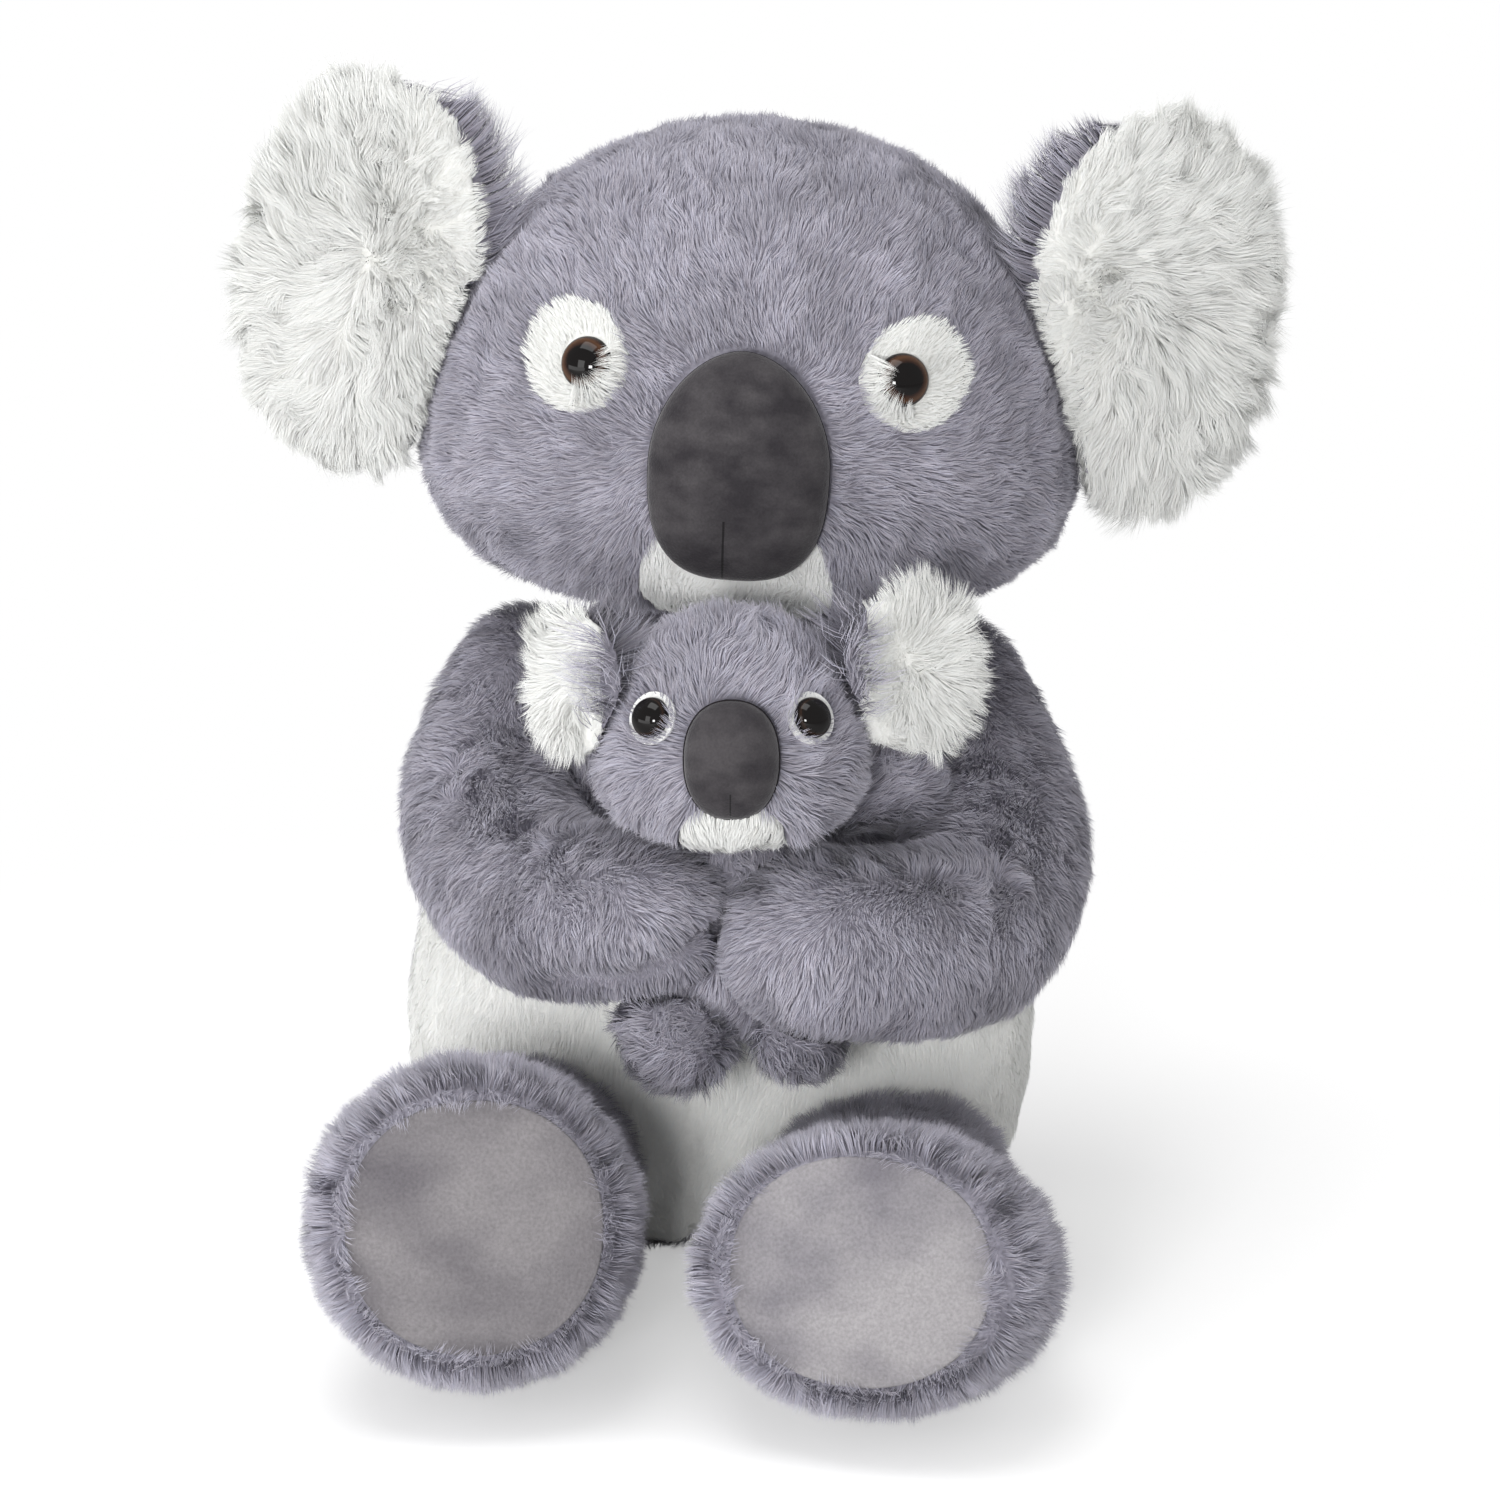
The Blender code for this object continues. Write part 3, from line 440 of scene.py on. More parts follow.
panel_reach = 0.006
low_front = (torso_roots[1][:, 1] < panel_turn) & (torso_roots[1][:, 2] > panel_floor)
on_panel = under(torso_roots, panel, panel_reach) | low_front
on_panel &= torso_roots[0][:, 2] < panel_end(torso_roots[0][:, 0])
beside_torso = surface_of(sorted(every_node - set(torso_nodes)))
in_front = torso_roots[0][:, 1] < 0.030
for part, mine in (("front", in_front), ("back", ~in_front)):
    coat("torso_pile_" + part, chosen(torso_roots, ~on_panel & mine), "torso", "grey_pile", grey_pile,
         downward, 21, beside=beside_torso)


# Belly panel: white plush let into the front of the torso, seamed at the sides. Its pile is
# shorter and denser than the grey and lies downwards.
# The white's root, middle and tip; the darker root is painted shade deep in the pile.
white_shades = ((0.80, 0.80, 0.78), (0.86, 0.865, 0.845), (0.90, 0.905, 0.885))
# A lighter copy of the white for the belly panel and the chin: painted light against the shade that they lie
# in.
white_shades_painted_light = ((0.88, 0.88, 0.86), (0.93, 0.935, 0.92), (0.95, 0.955, 0.94))
cloth_thickness = 0.0009


def even_edge(cloth, skin_surface, times_over=12):
    """Draws the cut edge of a cloth to an even line that stays on the skin."""
    cut = {corner: [edge.other_vert(corner) for edge in corner.link_edges if edge.is_boundary]
           for corner in cloth.verts if corner.is_boundary}
    for _ in range(times_over):
        drawn = {corner: corner.co * 0.5 + sum((mate.co for mate in mates), Vector()) * (0.5 / len(mates))
                 for corner, mates in cut.items()}
        for corner, place in drawn.items():
            corner.co = skin_surface.find_nearest(place)[0]


def cloth_on(name, node, skin, surface, reach, material, body, within=None, also=None):
    """A white cloth in place of its node, a little proud of a skin, of the faces under a surface: only
    within, and also where told."""
    cloth = bmesh.new()
    cloth.from_mesh(skin.data)
    cloth.normal_update()
    off = []
    for face in cloth.faces:
        spot = face.calc_center_median()
        over = surface.ray_cast(spot, face.normal, reach)[0] is not None
        over = over or also and also(spot, face.normal)
        if not over or within and not within(spot):
            off.append(face)
    bmesh.ops.delete(cloth, geom=off, context="FACES")
    even_edge(cloth, faces_of(skin.data))
    inner = [(corner, corner.co.copy()) for corner in cloth.verts]
    for corner in cloth.verts:
        corner.co += corner.normal * cloth_thickness
    bmesh.ops.extrude_face_region(cloth, geom=cloth.faces[:], use_keep_orig=True)
    for corner, place in inner:
        corner.co = place
    bmesh.ops.recalc_face_normals(cloth, faces=cloth.faces[:])
    mesh = bpy.data.meshes.new(name)
    cloth.to_mesh(mesh)
    cloth.free()
    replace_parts(put(name, mesh, material, body), node)


white_pile = pile_material("white_pile_strands", white_shades, 0.93, 1.0, 0.02)
white_knit = knit_material("white_knit", (0.74, 0.74, 0.71), (0.86, 0.86, 0.84))
white_pile_painted_light = pile_material("white_pile_painted_light_strands", white_shades_painted_light, 0.96, 1.0, 0.02)
white_knit_painted_light = knit_material("white_knit_painted_light", (0.86, 0.86, 0.84), (0.93, 0.93, 0.91))
# The belly panel's cloth and pile take the lighter copy of the white: painted light.
cloth_on("belly_panel_cloth", "belly_panel", torso_skin, panel, panel_reach, white_knit_painted_light, "torso",
         within=lambda spot: spot.z < panel_end(spot.x),
         also=lambda spot, out: out.y < panel_turn and out.z > panel_floor)
coat("belly_panel_pile", chosen(torso_roots, on_panel), "torso", "white_pile", white_pile_painted_light, downward, 31,
     length=0.0072, lay=(0.5, 0.85), wild=0.22, tuft=(9, 0.3), lifted=(-0.25, -0.2, 0.35),
     beside=beside_torso, longer=lambda roots, outs: 1 - 0.5 * belly_seam(roots))


# Head: the largest stuffed form, broad at the cheeks, of grey plush with its pile brushed out from
# the nose. It is sewn on at the neck, where it can tilt back.
head_height = 0.226
head_middle = Vector((0.016, -0.012, 0.424))
head_place = Matrix.Translation(head_middle) @ Matrix.Rotation(math.radians(2.6), 4, "Y")
head_place = head_place @ Matrix.Rotation(math.radians(-2.8), 4, "Z")
head_place = head_place @ Matrix.Translation((0, 0, -head_height / 2))
nose_middle = (0.0093, -0.135, 0.400)


def face_comb(roots, outs):
    """Out from the nose, up over the forehead and down over the cheeks, and back and down behind."""
    way = unit(roots - np.array(nose_middle))
    rise = np.clip((roots[:, 2] - nose_middle[2]) / 0.06, -1, 1)
    way[:, 2] += 0.5 * rise
    behind = np.clip((roots[:, 1] - 0.01) / 0.06, 0, 1)[:, None]
    return unit(unit(way) * (1 - behind) + np.array((0, 1, -0.7)) * behind)


def over_eye(middle, side):
    """A comb towards an eye from one side of it."""
    goal = np.array(middle) - np.array(side)
    return lambda roots, outs: unit(goal - roots)


def twice(spread):
    """Two strands for each root, a hair apart."""
    return tuple(np.concatenate([v, v + 0.0001]) for v in spread)


head_nodes = sorted(n for n in every_node if n == "head" or n.startswith(("eye_", "chin_")))
head_skin = put("head_skin", knitted(head_nodes, 0.0035, 6, knit_draw_in), grey_knit, "head")
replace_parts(head_skin, "head")
head_roots = roots_on(head_skin.data, pile_density, 41)
eye_patches = surface_of(["eye_patch_left", "eye_patch_right"])
eyes = surface_of(["eye_left", "eye_right"])
under_plastic = under(head_roots, eyes, 0.012)
under_nose = under(head_roots, surface_of(["nose"]), 0.005)
on_patch = under(head_roots, eye_patches, 0.005) & ~under_plastic
on_chin = under(head_roots, surface_of(["chin_patch"]), 0.005) & ~under_nose
beside_head = surface_of(sorted(every_node - set(head_nodes)))
on_grey = ~(on_patch | on_chin | under_plastic | under_nose)
for part, mine, stray in (("face", head_roots[0][:, 1] < head_middle[1], 0.5),
                          ("back", head_roots[0][:, 1] >= head_middle[1], 0.3)):
    coat("head_pile_" + part, chosen(head_roots, on_grey & mine), "head", "grey_pile", grey_pile,
         face_comb, 51, wild=0.45, stray=stray, tuft=(10, 0.4), beside=beside_head)


# Eye patches and chin: white plush let into the face. The pile of the patches leans with the
# grey round it and half covers the rims of the eyes; the chin's lies smooth and downwards.
for patch, mine, comb, knit, pile, lay, lifted, eye_spot, inner_side, seed in (
    ("eye_patch_left", on_patch & (head_roots[0][:, 0] < 0), face_comb, white_knit, white_pile,
     (0.3, 0.65), (0, 0, 0), (-0.0585, -0.108, 0.4425), (0.78, 0, -0.62), 61),
    ("eye_patch_right", on_patch & (head_roots[0][:, 0] > 0), face_comb, white_knit, white_pile,
     (0.3, 0.65), (0, 0, 0), (0.082, -0.113, 0.436), (-0.85, 0, -0.52), 65),
    # The chin takes the lighter copy of the white: painted light against the shade under the nose.
    ("chin_patch", on_chin, downward, white_knit_painted_light, white_pile_painted_light,
     (0.5, 0.85), (-0.4, -1.6, 0.6), None, None, 71),
):
    cloth_on(patch + "_cloth", patch, head_skin, surface_of([patch]), 0.005, knit, "head")
    coat(patch + "_pile", twice(chosen(head_roots, mine)), "head", "white_pile", pile, comb, seed,
         length=0.0068, lay=lay, tuft=(9, 0.35), lifted=lifted, beside=beside_head)
    if eye_spot:
        off = head_roots[0] - np.array(eye_spot)
        leaning = off @ np.array(inner_side) > 0.35 * np.linalg.norm(off, axis=1)
        rim = chosen(head_roots, mine & leaning & (np.linalg.norm(off, axis=1) < 0.021))
        coat(patch + "_rim_pile", rim, "head", "white_pile", white_pile,
             over_eye(eye_spot, -0.004 * np.array(inner_side)), seed + 2,
             length=0.0185, width=0.0004, lay=(0.10, 0.80), wild=0.25, stray=0.2, tuft=(14, 0.6))


# Nose: a padded egg of charcoal velour, sewn flat over the face, with a near-black cord round its
# edge as painted shade in the crease at the fur, and a short dart at the foot whose line is darkened
# as painted shade. The nap is rubbed in soft, darker and lighter clouds.
nose_size = (0.081, 0.104, 0.017)
nose_rise = 0.392
egg_powers = (1.85, 2.8)
wall_depth = 0.016
# The dart's length, the half width of its darkened line, which is painted shade in the crease, and its place
# across.
nose_dart = (0.030, 0.0005, -0.005)
# The radius of the near-black cord round the nose, which is painted shade.
painted_shade_cord = 0.0009
dart_depth, dart_width = 0.0010, 0.0018
wrinkle = 0.00022


def closed_mesh(name, rings):
    """A closed mesh over rings of points; the first and the last ring are single points."""
    count = len(rings[1])
    spots = [rings[0][0]] + [spot for ring in rings[1:-1] for spot in ring] + [rings[-1][0]]
    faces = []
    for k in range(count):
        near_one, far_one = 1 + k, 1 + (k + 1) % count
        faces.append((0, far_one, near_one))
        for j in range(len(rings) - 3):
            low, high = j * count, (j + 1) * count
            faces.append((near_one + low, far_one + low, far_one + high, near_one + high))
        top = (len(rings) - 3) * count
        faces.append((near_one + top, far_one + top, len(spots) - 1))
    mesh = bpy.data.meshes.new(name)
    mesh.from_pydata([tuple(spot) for spot in spots], [], faces)
    shape = bmesh.new()
    shape.from_mesh(mesh)
    bmesh.ops.recalc_face_normals(shape, faces=shape.faces[:])
    shape.to_mesh(mesh)
    shape.free()
    return mesh


def egg_ring(width, height, powers, share, y, count=96):
    """An upright egg along Y at a share of its size, with a power for its upper and its lower half."""
    ring = []
    for k in range(count):
        turn = math.tau * k / count
        across, up = math.cos(turn), math.sin(turn)
        power = 2 / powers[0 if up > 0 else 1]
        x = math.copysign(abs(across) ** power, across) * width / 2
        z = math.copysign(abs(up) ** power, up) * height / 2
        ring.append(Vector((x * share, y, z * share)))
    return ring


def velour_nose(node, body, place, size, powers, depth, z, dart):
    """A nose on the face frame at place: a low dome whose wall draws in at its edge, ringed by a near-black
    cord of painted shade.
    """
    name = node + "_pad"
    width, height, stand = size
    inside = place.inverted()
    front = min((inside @ v.co).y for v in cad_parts[node].data.vertices)
    base = front + stand
    rings = [[Vector((0, base + depth, 0))], egg_ring(width, height, powers, 0.93, base + depth)]
    rings.append(egg_ring(width, height, powers, 0.965, base + 0.15 * stand))
    for k in range(40):
        turn = math.pi / 2 * k / 40
        rings.append(egg_ring(width, height, powers, math.cos(turn) ** 0.9, base - stand * math.sin(turn)))
    rings.append([Vector((0, front, 0))])
    for ring in rings[2:]:
        for spot in ring:
            fall = math.exp(-(((spot.x - dart[2]) / dart_width) ** 2))
            fall *= min(max(-spot.z - height / 2 + dart[0], 0) / 0.006, 1)
            wave = math.sin(spot.z * 330 + 3 * math.sin(spot.x * 60))
            spot.y += dart_depth * fall + wrinkle * (base - spot.y) / stand * wave
    mesh = closed_mesh(name, rings)
    stance = place @ Matrix.Translation((0, 0, z))
    mesh.transform(stance)
    made = put(name, mesh, velour_material(name + "_velour", place, z, height, dart), body)
    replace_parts(made, node)
    # A near-black cord round the nose's edge: painted shade in the crease where the velour meets the fur.
    shade_cord_curve = bpy.data.curves.new(name + "_seam", "CURVE")
    shade_cord_curve.dimensions = "3D"
    shade_cord_curve.bevel_depth = painted_shade_cord
    run = shade_cord_curve.splines.new("POLY")
    points = egg_ring(width, height, powers, 0.985, base + 0.0002)
    run.points.add(len(points) - 1)
    for point, spot in zip(run.points, points):
        point.co = (*(stance @ spot), 1)
    run.use_cyclic_u = True
    tube = bpy.data.objects.new(name + "_seam", shade_cord_curve)
    mesh = bpy.data.meshes.new_from_object(tube)
    bpy.data.objects.remove(tube)
    shade_cord_black, _, shader = plain_shader(name + "_thread", 0.9, 0.0, 0.1)
    shader.inputs["Base Color"].default_value = (0.016, 0.014, 0.016, 1)
    put(name + "_painted_shade_cord", mesh, shade_cord_black, body)


def velour_material(name, place, z, height, dart):
    """Charcoal velour with rubbed clouds, and a dark line up the dart from the foot: painted shade in its
    crease.
    """
    made, tree, shader = plain_shader(name, 0.8, 0.25, 0.2)
    cloud = noise(tree, 55.0, 4.0, (1, 1, 1.5))
    grain = noise(tree, 900.0)
    colour = ramp(tree, cloud, [(0.34, (0.026, 0.023, 0.027)), (0.66, (0.062, 0.057, 0.061))])
    colour = times(tree, colour, ramp(tree, grain, [(0.25, (0.8,) * 3), (0.75, (1.15,) * 3)]))
    middle = place @ Vector((0, 0, z))
    across = place.to_3x3() @ Vector((1, 0, 0))
    up = place.to_3x3() @ Vector((0, 0, 1))
    spot = tree.nodes.new("ShaderNodeTexCoord").outputs["Object"]
    side = dotted(tree, spot, across, -across.dot(middle) - dart[2])
    rise = dotted(tree, spot, up, -up.dot(middle))
    # The colour along the dart is darkened to a quarter: painted shade in its crease.
    line = sums(tree, "LESS_THAN", sums(tree, "ABSOLUTE", side), dart[1])
    line = sums(tree, "MULTIPLY", line, sums(tree, "LESS_THAN", rise, dart[0] - height / 2))
    colour = times(tree, colour, ramp(tree, line, [(0.0, (1, 1, 1)), (1.0, (0.25, 0.25, 0.25))]))
    tree.links.new(colour, shader.inputs["Base Color"])
    bumped(tree, shader, sums(tree, "ADD", cloud, grain), 0.0012, 0.35)
    return made


def dotted(tree, spot, way, shift):
    """How far a spot lies along a way, from the place given by shift."""
    node = tree.nodes.new("ShaderNodeVectorMath")
    node.operation = "DOT_PRODUCT"
    tree.links.new(spot, node.inputs[0])
    node.inputs[1].default_value = way
    return sums(tree, "ADD", node.outputs["Value"], shift)


velour_nose("nose", "head", head_place, nose_size, egg_powers, wall_depth, nose_rise * head_height, nose_dart)


# Eyes: glossy domed plastic on a shank that runs through the plush to a washer inside the head.
# A wide black pupil, an amber brown ring with fine streaks and a dark rim.
eye_profile_steps = 14
shank_radius, shank_end = 0.0025, -0.016
eye_rim = 0.0003
eye_diameter, eye_stand = 0.024, 0.0085


def safety_eye(node, body, diameter, stand, iris):
    """A domed eye in place of its node, turned about the node's own axis."""
    name = node + "_dome"
    spots = spots_of(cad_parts[node].data)
    middle = spots.mean(axis=0)
    spread = np.linalg.svd(spots - middle)[2]
    axis = max(spread, key=lambda way: roundness(spots - middle, way))
    axis = axis if axis[1] < 0 else -axis
    top = middle + axis * ((spots - middle) @ axis).max()
    facing = Vector(axis).to_track_quat("Z", "Y").to_matrix().to_4x4()
    place = Matrix.Translation(Vector(top) - Vector(axis) * stand) @ facing
    radius = diameter / 2
    profile = [(shank_radius, shank_end), (shank_radius, -0.0005), (radius * 0.97, -0.0005)]
    profile.append((radius, eye_rim))
    for k in range(1, eye_profile_steps):
        turn = math.pi / 2 * k / eye_profile_steps
        profile.append((radius * math.cos(turn), eye_rim + (stand - eye_rim) * math.sin(turn)))
    rings = [[Vector((0, 0, shank_end))]]
    turns = [math.tau * k / 64 for k in range(64)]
    for r, h in profile:
        rings.append([Vector((r * math.cos(t), r * math.sin(t), h)) for t in turns])
    rings.append([Vector((0, 0, stand))])
    mesh = closed_mesh(name, rings)
    reach = [math.hypot(v.co.x, v.co.y) / radius if v.co.z > 0 else 1.0 for v in mesh.vertices]
    mesh.attributes.new("reach", "FLOAT", "POINT").data.foreach_set("value", reach)
    mesh.transform(place)
    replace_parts(put(name, mesh, eye_material(name + "_plastic", iris), body), node)


def roundness(spots, way):
    """How evenly points lie round a way through their middle: 0 at best."""
    flat = spots - np.outer(spots @ way, way)
    sizes = np.linalg.svd(flat, compute_uv=False)
    return -abs(sizes[0] - sizes[1])


def eye_material(name, iris):
    """Glossy plastic; iris is the reach of the pupil, the dark brown and the light brown."""
    made, tree, shader = plain_shader(name, 0.4, 0.0, 0.0)
    shader.inputs["Coat Weight"].default_value = 0.55
    shader.inputs["Coat Roughness"].default_value = 0.03
    reach = tree.nodes.new("ShaderNodeAttribute")
    reach.attribute_name = "reach"
    streaks = noise(tree, 700.0, 2.0)
    wobble = sums(tree, "ADD", reach.outputs["Fac"], sums(tree, "MULTIPLY", streaks, 0.05))
    black = (0.004, 0.003, 0.003)
    pupil, brown, amber = iris
    stops = [(0.0, black), (pupil, black), (pupil + 0.08, brown), (0.86, amber), (0.95, brown), (0.99, black)]
    tree.links.new(ramp(tree, wobble, stops), shader.inputs["Base Color"])
    return made


mother_iris = (0.60, (0.026, 0.011, 0.007), (0.088, 0.040, 0.020))
for node in ("eye_left", "eye_right"):
    safety_eye(node, "head", eye_diameter, eye_stand, mother_iris)


# Washers behind the eyes: plain moulded plastic, hidden in the filling. Each is pressed on the shank
# of its eye from inside and locks it to the plush.
def dressed(node, material):
    """Gives a solid that is shown as it is its material."""
    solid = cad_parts[node]
    solid.data.materials.clear()
    solid.data.materials.append(material)


washer_plastic, tree, shader = plain_shader("washer_moulded", 0.45, 0.0, 0.4)
shader.inputs["Base Color"].default_value = (0.74, 0.74, 0.72, 1)
for node in sorted(every_node):
    if "washer" in node:
        dressed(node, washer_plastic)


# Ears: flat pads, each of two halves. The front is long white pile that springs from one whorl and
# lies out to the rim in spiky locks; the back is grey like the head.
ear_look = {"width": 0.0004, "lay": (0.5, 0.86), "wild": 0.6, "stray": 0.9}


def ear_pad(ear, body, fineness, evenings, draw_in, reach, seed, within=None):
    """An ear's skin, with white cloth on its front. It gives the roots, which of them lie under the
    front, and the surface of the ear's neighbours."""
    front, back = ear.replace("ear_", "ear_front_"), ear.replace("ear_", "ear_back_")
    knit = knitted([front, back], fineness, evenings, draw_in)
    skin = put(ear + "_skin", knit, grey_knit, body)
    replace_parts(skin, back)
    surface = surface_of([front])
    cloth_on(ear + "_front_cloth", front, skin, surface, reach, white_knit, body, within)
    spread = roots_on(skin.data, pile_density, seed)
    return spread, under(spread, surface, reach), surface_of(sorted(every_node - {front, back}))


def spread_from(whorl, calm):
    """A comb that runs out from a whorl, where the pile stands up until it is calm."""

    def comb(roots, outs):
        way = roots - np.array(whorl)
        return unit(way) * np.clip(np.linalg.norm(way, axis=1) / calm, 0.6, 1)[:, None]

    return comb


def shorter_inside(edge, over, least):
    """Pile that grows to its length over a width from the ear's inner edge."""
    return lambda roots, outs: np.clip((roots[:, 0] - edge) / over, least, 1)


def longer_at_head(edge, over):
    """Pile that grows longer towards the ear's inner edge, where it fills the crook of the ear."""
    return lambda roots, outs: 2.7 - 1.7 * np.clip((roots[:, 0] - edge) / over, 0, 1)


for hand, whorl, inner, toward in (
    ("left", (-0.150, -0.030, 0.478), (-0.108, -0.045), 0.7),
    ("right", (0.182, -0.040, 0.458), (0.142, 0.045), -0.7),
):
    ear = "ear_" + hand
    spread, white, beside = ear_pad(ear, ear, 0.0035, 6, 0.0045, 0.009, 91)
    coat(ear + "_front_pile", twice(chosen(spread, white)), ear, "white_pile", white_pile,
         spread_from(whorl, 0.04), 93, length=0.0215, tuft=(40, 0.72), beside=beside,
         longer=shorter_inside(*inner, 0.4), **ear_look)
    coat(ear + "_back_pile", chosen(spread, ~white), ear, "grey_pile", grey_pile,
         lambda roots, outs: np.tile((toward, 0.2, 0.65), (len(roots), 1)), 97, length=0.012,
         beside=beside, longer=longer_at_head(*inner))


# Arms: stuffed tubes of grey plush from the shoulders round the baby, closed at the paws. The pile
# runs from the shoulder to the paw and hangs over the lower side.
left_arm_line = [(-0.0903, 0, 0.265), (-0.1056, -0.035, 0.230), (-0.1025, -0.085, 0.209),
                 (-0.0796, -0.135, 0.198), (-0.0558, -0.165, 0.202), (-0.0340, -0.188, 0.207)]
right_arm_line = [(0.1048, 0, 0.262), (0.1216, -0.035, 0.228), (0.1278, -0.085, 0.204),
                  (0.1117, -0.135, 0.186), (0.0750, -0.175, 0.191), (0.0439, -0.195, 0.197)]


def along(line, lean):
    """A comb that follows a line of points from its first to its last, with a lean added."""
    stops = np.array(line)
    middles, ways = (stops[1:] + stops[:-1]) / 2, unit(stops[1:] - stops[:-1])

    def comb(roots, outs):
        gaps = np.linalg.norm(roots[:, None] - middles[None], axis=2)
        shares = np.exp(-((gaps / 0.03) ** 2)) + 1e-9
        return unit(unit(shares @ ways) * np.array((0.6, 0, 0.6)) + np.array(lean))

    return comb


def stuffed(nodes, body, comb, seed, fineness=0.0035, draw_in=0.003, fill=0.75, bare=(), dents=(), **pile):
    """A skin and a grey coat for one or more solids; the first is the one they replace."""
    made = put(nodes[0] + "_skin", knitted(nodes, fineness, 6, draw_in), grey_knit, body)
    for dent in dents:
        pressed(made, dent)
    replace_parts(made, nodes[0])
    spread = roots_on(made.data, pile_density, seed)
    keep = np.ones(len(spread[0]), dtype=bool)
    for surface, reach in bare:
        keep &= ~under(spread, surface, reach)
    beside = surface_of(sorted(every_node - set(nodes)))
    coat(nodes[0] + "_pile", chosen(spread, keep), body, "grey_pile", grey_pile, comb, seed + 2,
         beside=beside, **pile)
    return made, spread, beside


def longer_inside(middle, reach, most):
    """Pile that is longer on the side that faces a point within reach."""

    def grown(roots, outs):
        way = np.array(middle) - roots
        facing = (unit(way) * outs).sum(axis=1)
        closeness = np.clip(1.6 - np.linalg.norm(way, axis=1) / reach, 0, 1)
        return 1 + (most - 1) * np.clip(facing, 0, 1) * closeness

    return grown


def paws_meet(middle, most, over):
    """The ends of both paws swell towards the plane where they meet."""

    def swell(spots, outs):
        gap = spots[:, 0] - middle
        near = np.exp(-((gap / over) ** 2)) * (spots[:, 1] < -0.13)
        return spots - np.stack([np.sign(gap) * near * most, near * 0, near * 0], axis=1)

    return swell


hug_middle = (0.008, -0.15, 0.27)
paw_fold = by_fold([(-0.072, 0.177), (-0.040, 0.185), (-0.002, 0.206)], 0.0060)
together = paws_meet(0.002, 0.0045, 0.018)
grown = longer_inside(hug_middle, 0.075, 1.9)
for hand, line, seed, dents, longer in (
    ("left", left_arm_line, 101, (together, dented(paw_fold, 0.014)),
     lambda roots, outs: grown(roots, outs) * (1 - 0.7 * paw_fold(roots))),
    ("right", right_arm_line, 111, (together,), grown),
):
    stuffed(["arm_" + hand], "arm_" + hand, along(line, (0, 0.25, -0.7)), seed, dents=dents, longer=longer)


# Legs: stuffed tubes that swell into round feet, with a soft roll of plush round each sole. The
# pile runs down to the foot and parts from the sole on all sides.
def foot_comb(middle, half):
    """A comb that parts at the sole's rim: out over the roll, in over the sole, and back along the leg."""

    def comb(roots, outs):
        way = (roots - middle) * np.array((1, 0, 1))
        gap = (np.linalg.norm(way / (half[0], 1, half[1]), axis=1) - 1) * half[1]
        front = outs[:, 1] < -0.5
        ragged = front & (gap < 0.0045 + 0.0035 * drift(roots, 0.009, 7)[:, 0])
        inward = np.where(ragged, -1.0, 1.0)[:, None]
        back = np.clip((roots[:, 1] - middle[1] - 0.03) / 0.05, 0, 1)[:, None]
        press = np.where(front[:, None], np.where(ragged, 0.95, 0.45)[:, None], 0.4 + 0.5 * back)
        flow = unit(way) * inward * (1 - 0.7 * back) + np.array((0, 0.15, 0)) + back * (0, 0.6, -0.5)
        return unit(flow) * press

    return comb


for hand, seed, half in (("left", 121, (0.056, 0.0555)), ("right", 131, (0.0575, 0.049))):
    sole = "sole_" + hand
    sole_middle = spots_of(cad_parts[sole].data).mean(axis=0)
    stuffed(["leg_" + hand, sole], "leg_" + hand, foot_comb(sole_middle, half), seed,
            bare=[(surface_of([sole]), 0.006)], length=0.0125, width=0.0004, wild=0.5, stray=0.45,
            tuft=(14, 0.4), lifted=(0, -0.2, 0.35))


# Soles: ovals of rose grey velour, lightly padded, sewn into the feet. The seam draws small
# puckers, and the nap is brushed in lighter and darker strokes.
sole_powers = (2 / 0.94, 2 / 0.94)
sole_pucker = 0.0003


def sole_pad(node, body, size, seed, dark, light):
    """A low oval cushion in place of its node, turned about the node's own thin way."""
    width, height, thickness = size
    spots = spots_of(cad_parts[node].data)
    middle = (spots.min(axis=0) + spots.max(axis=0)) / 2
    out = np.linalg.svd(spots - spots.mean(axis=0))[2][2]
    out = Vector(out if out[1] < 0 else -out)
    turn = out.to_track_quat("-Y", "Z").to_matrix().to_4x4()
    place = Matrix.Translation(middle) @ turn
    dice = np.random.default_rng(seed)
    waves = dice.uniform(-1, 1, (3, 2))
    rings = [[Vector((0, thickness / 2, 0))]]
    for share, y in ((0.96, thickness / 2), (1, thickness / 3), (1, thickness / 6)):
        rings.append(egg_ring(width, height, sole_powers, share, y, 120))
    for k in range(1, 26):
        share = 1 - (k / 26) ** 1.6
        bulge = 0.0055 * (1 - share**2.5) - 0.0030
        pucker = max(0, 1 - abs(share - 0.93) / 0.07)
        ring = egg_ring(width, height, sole_powers, share, -thickness / 2 - bulge, 120)
        rings.append(puckered(ring, waves, sole_pucker * pucker))
    rings.append([Vector((0, -thickness / 2 - 0.0025, 0))])
    mesh = closed_mesh(node + "_pad", rings)
    mesh.transform(place)
    made = put(node + "_pad", mesh, sole_velour(node + "_velour", dark, light), body)
    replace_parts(made, node)


def puckered(ring, waves, depth):
    """A ring with small waves in its depth, as the seam draws them."""
    for k, spot in enumerate(ring):
        turn = math.tau * k / len(ring)
        spot.y += depth * sum(a * math.sin((9 + 5 * j) * turn + b * 3) for j, (a, b) in enumerate(waves))
    return ring


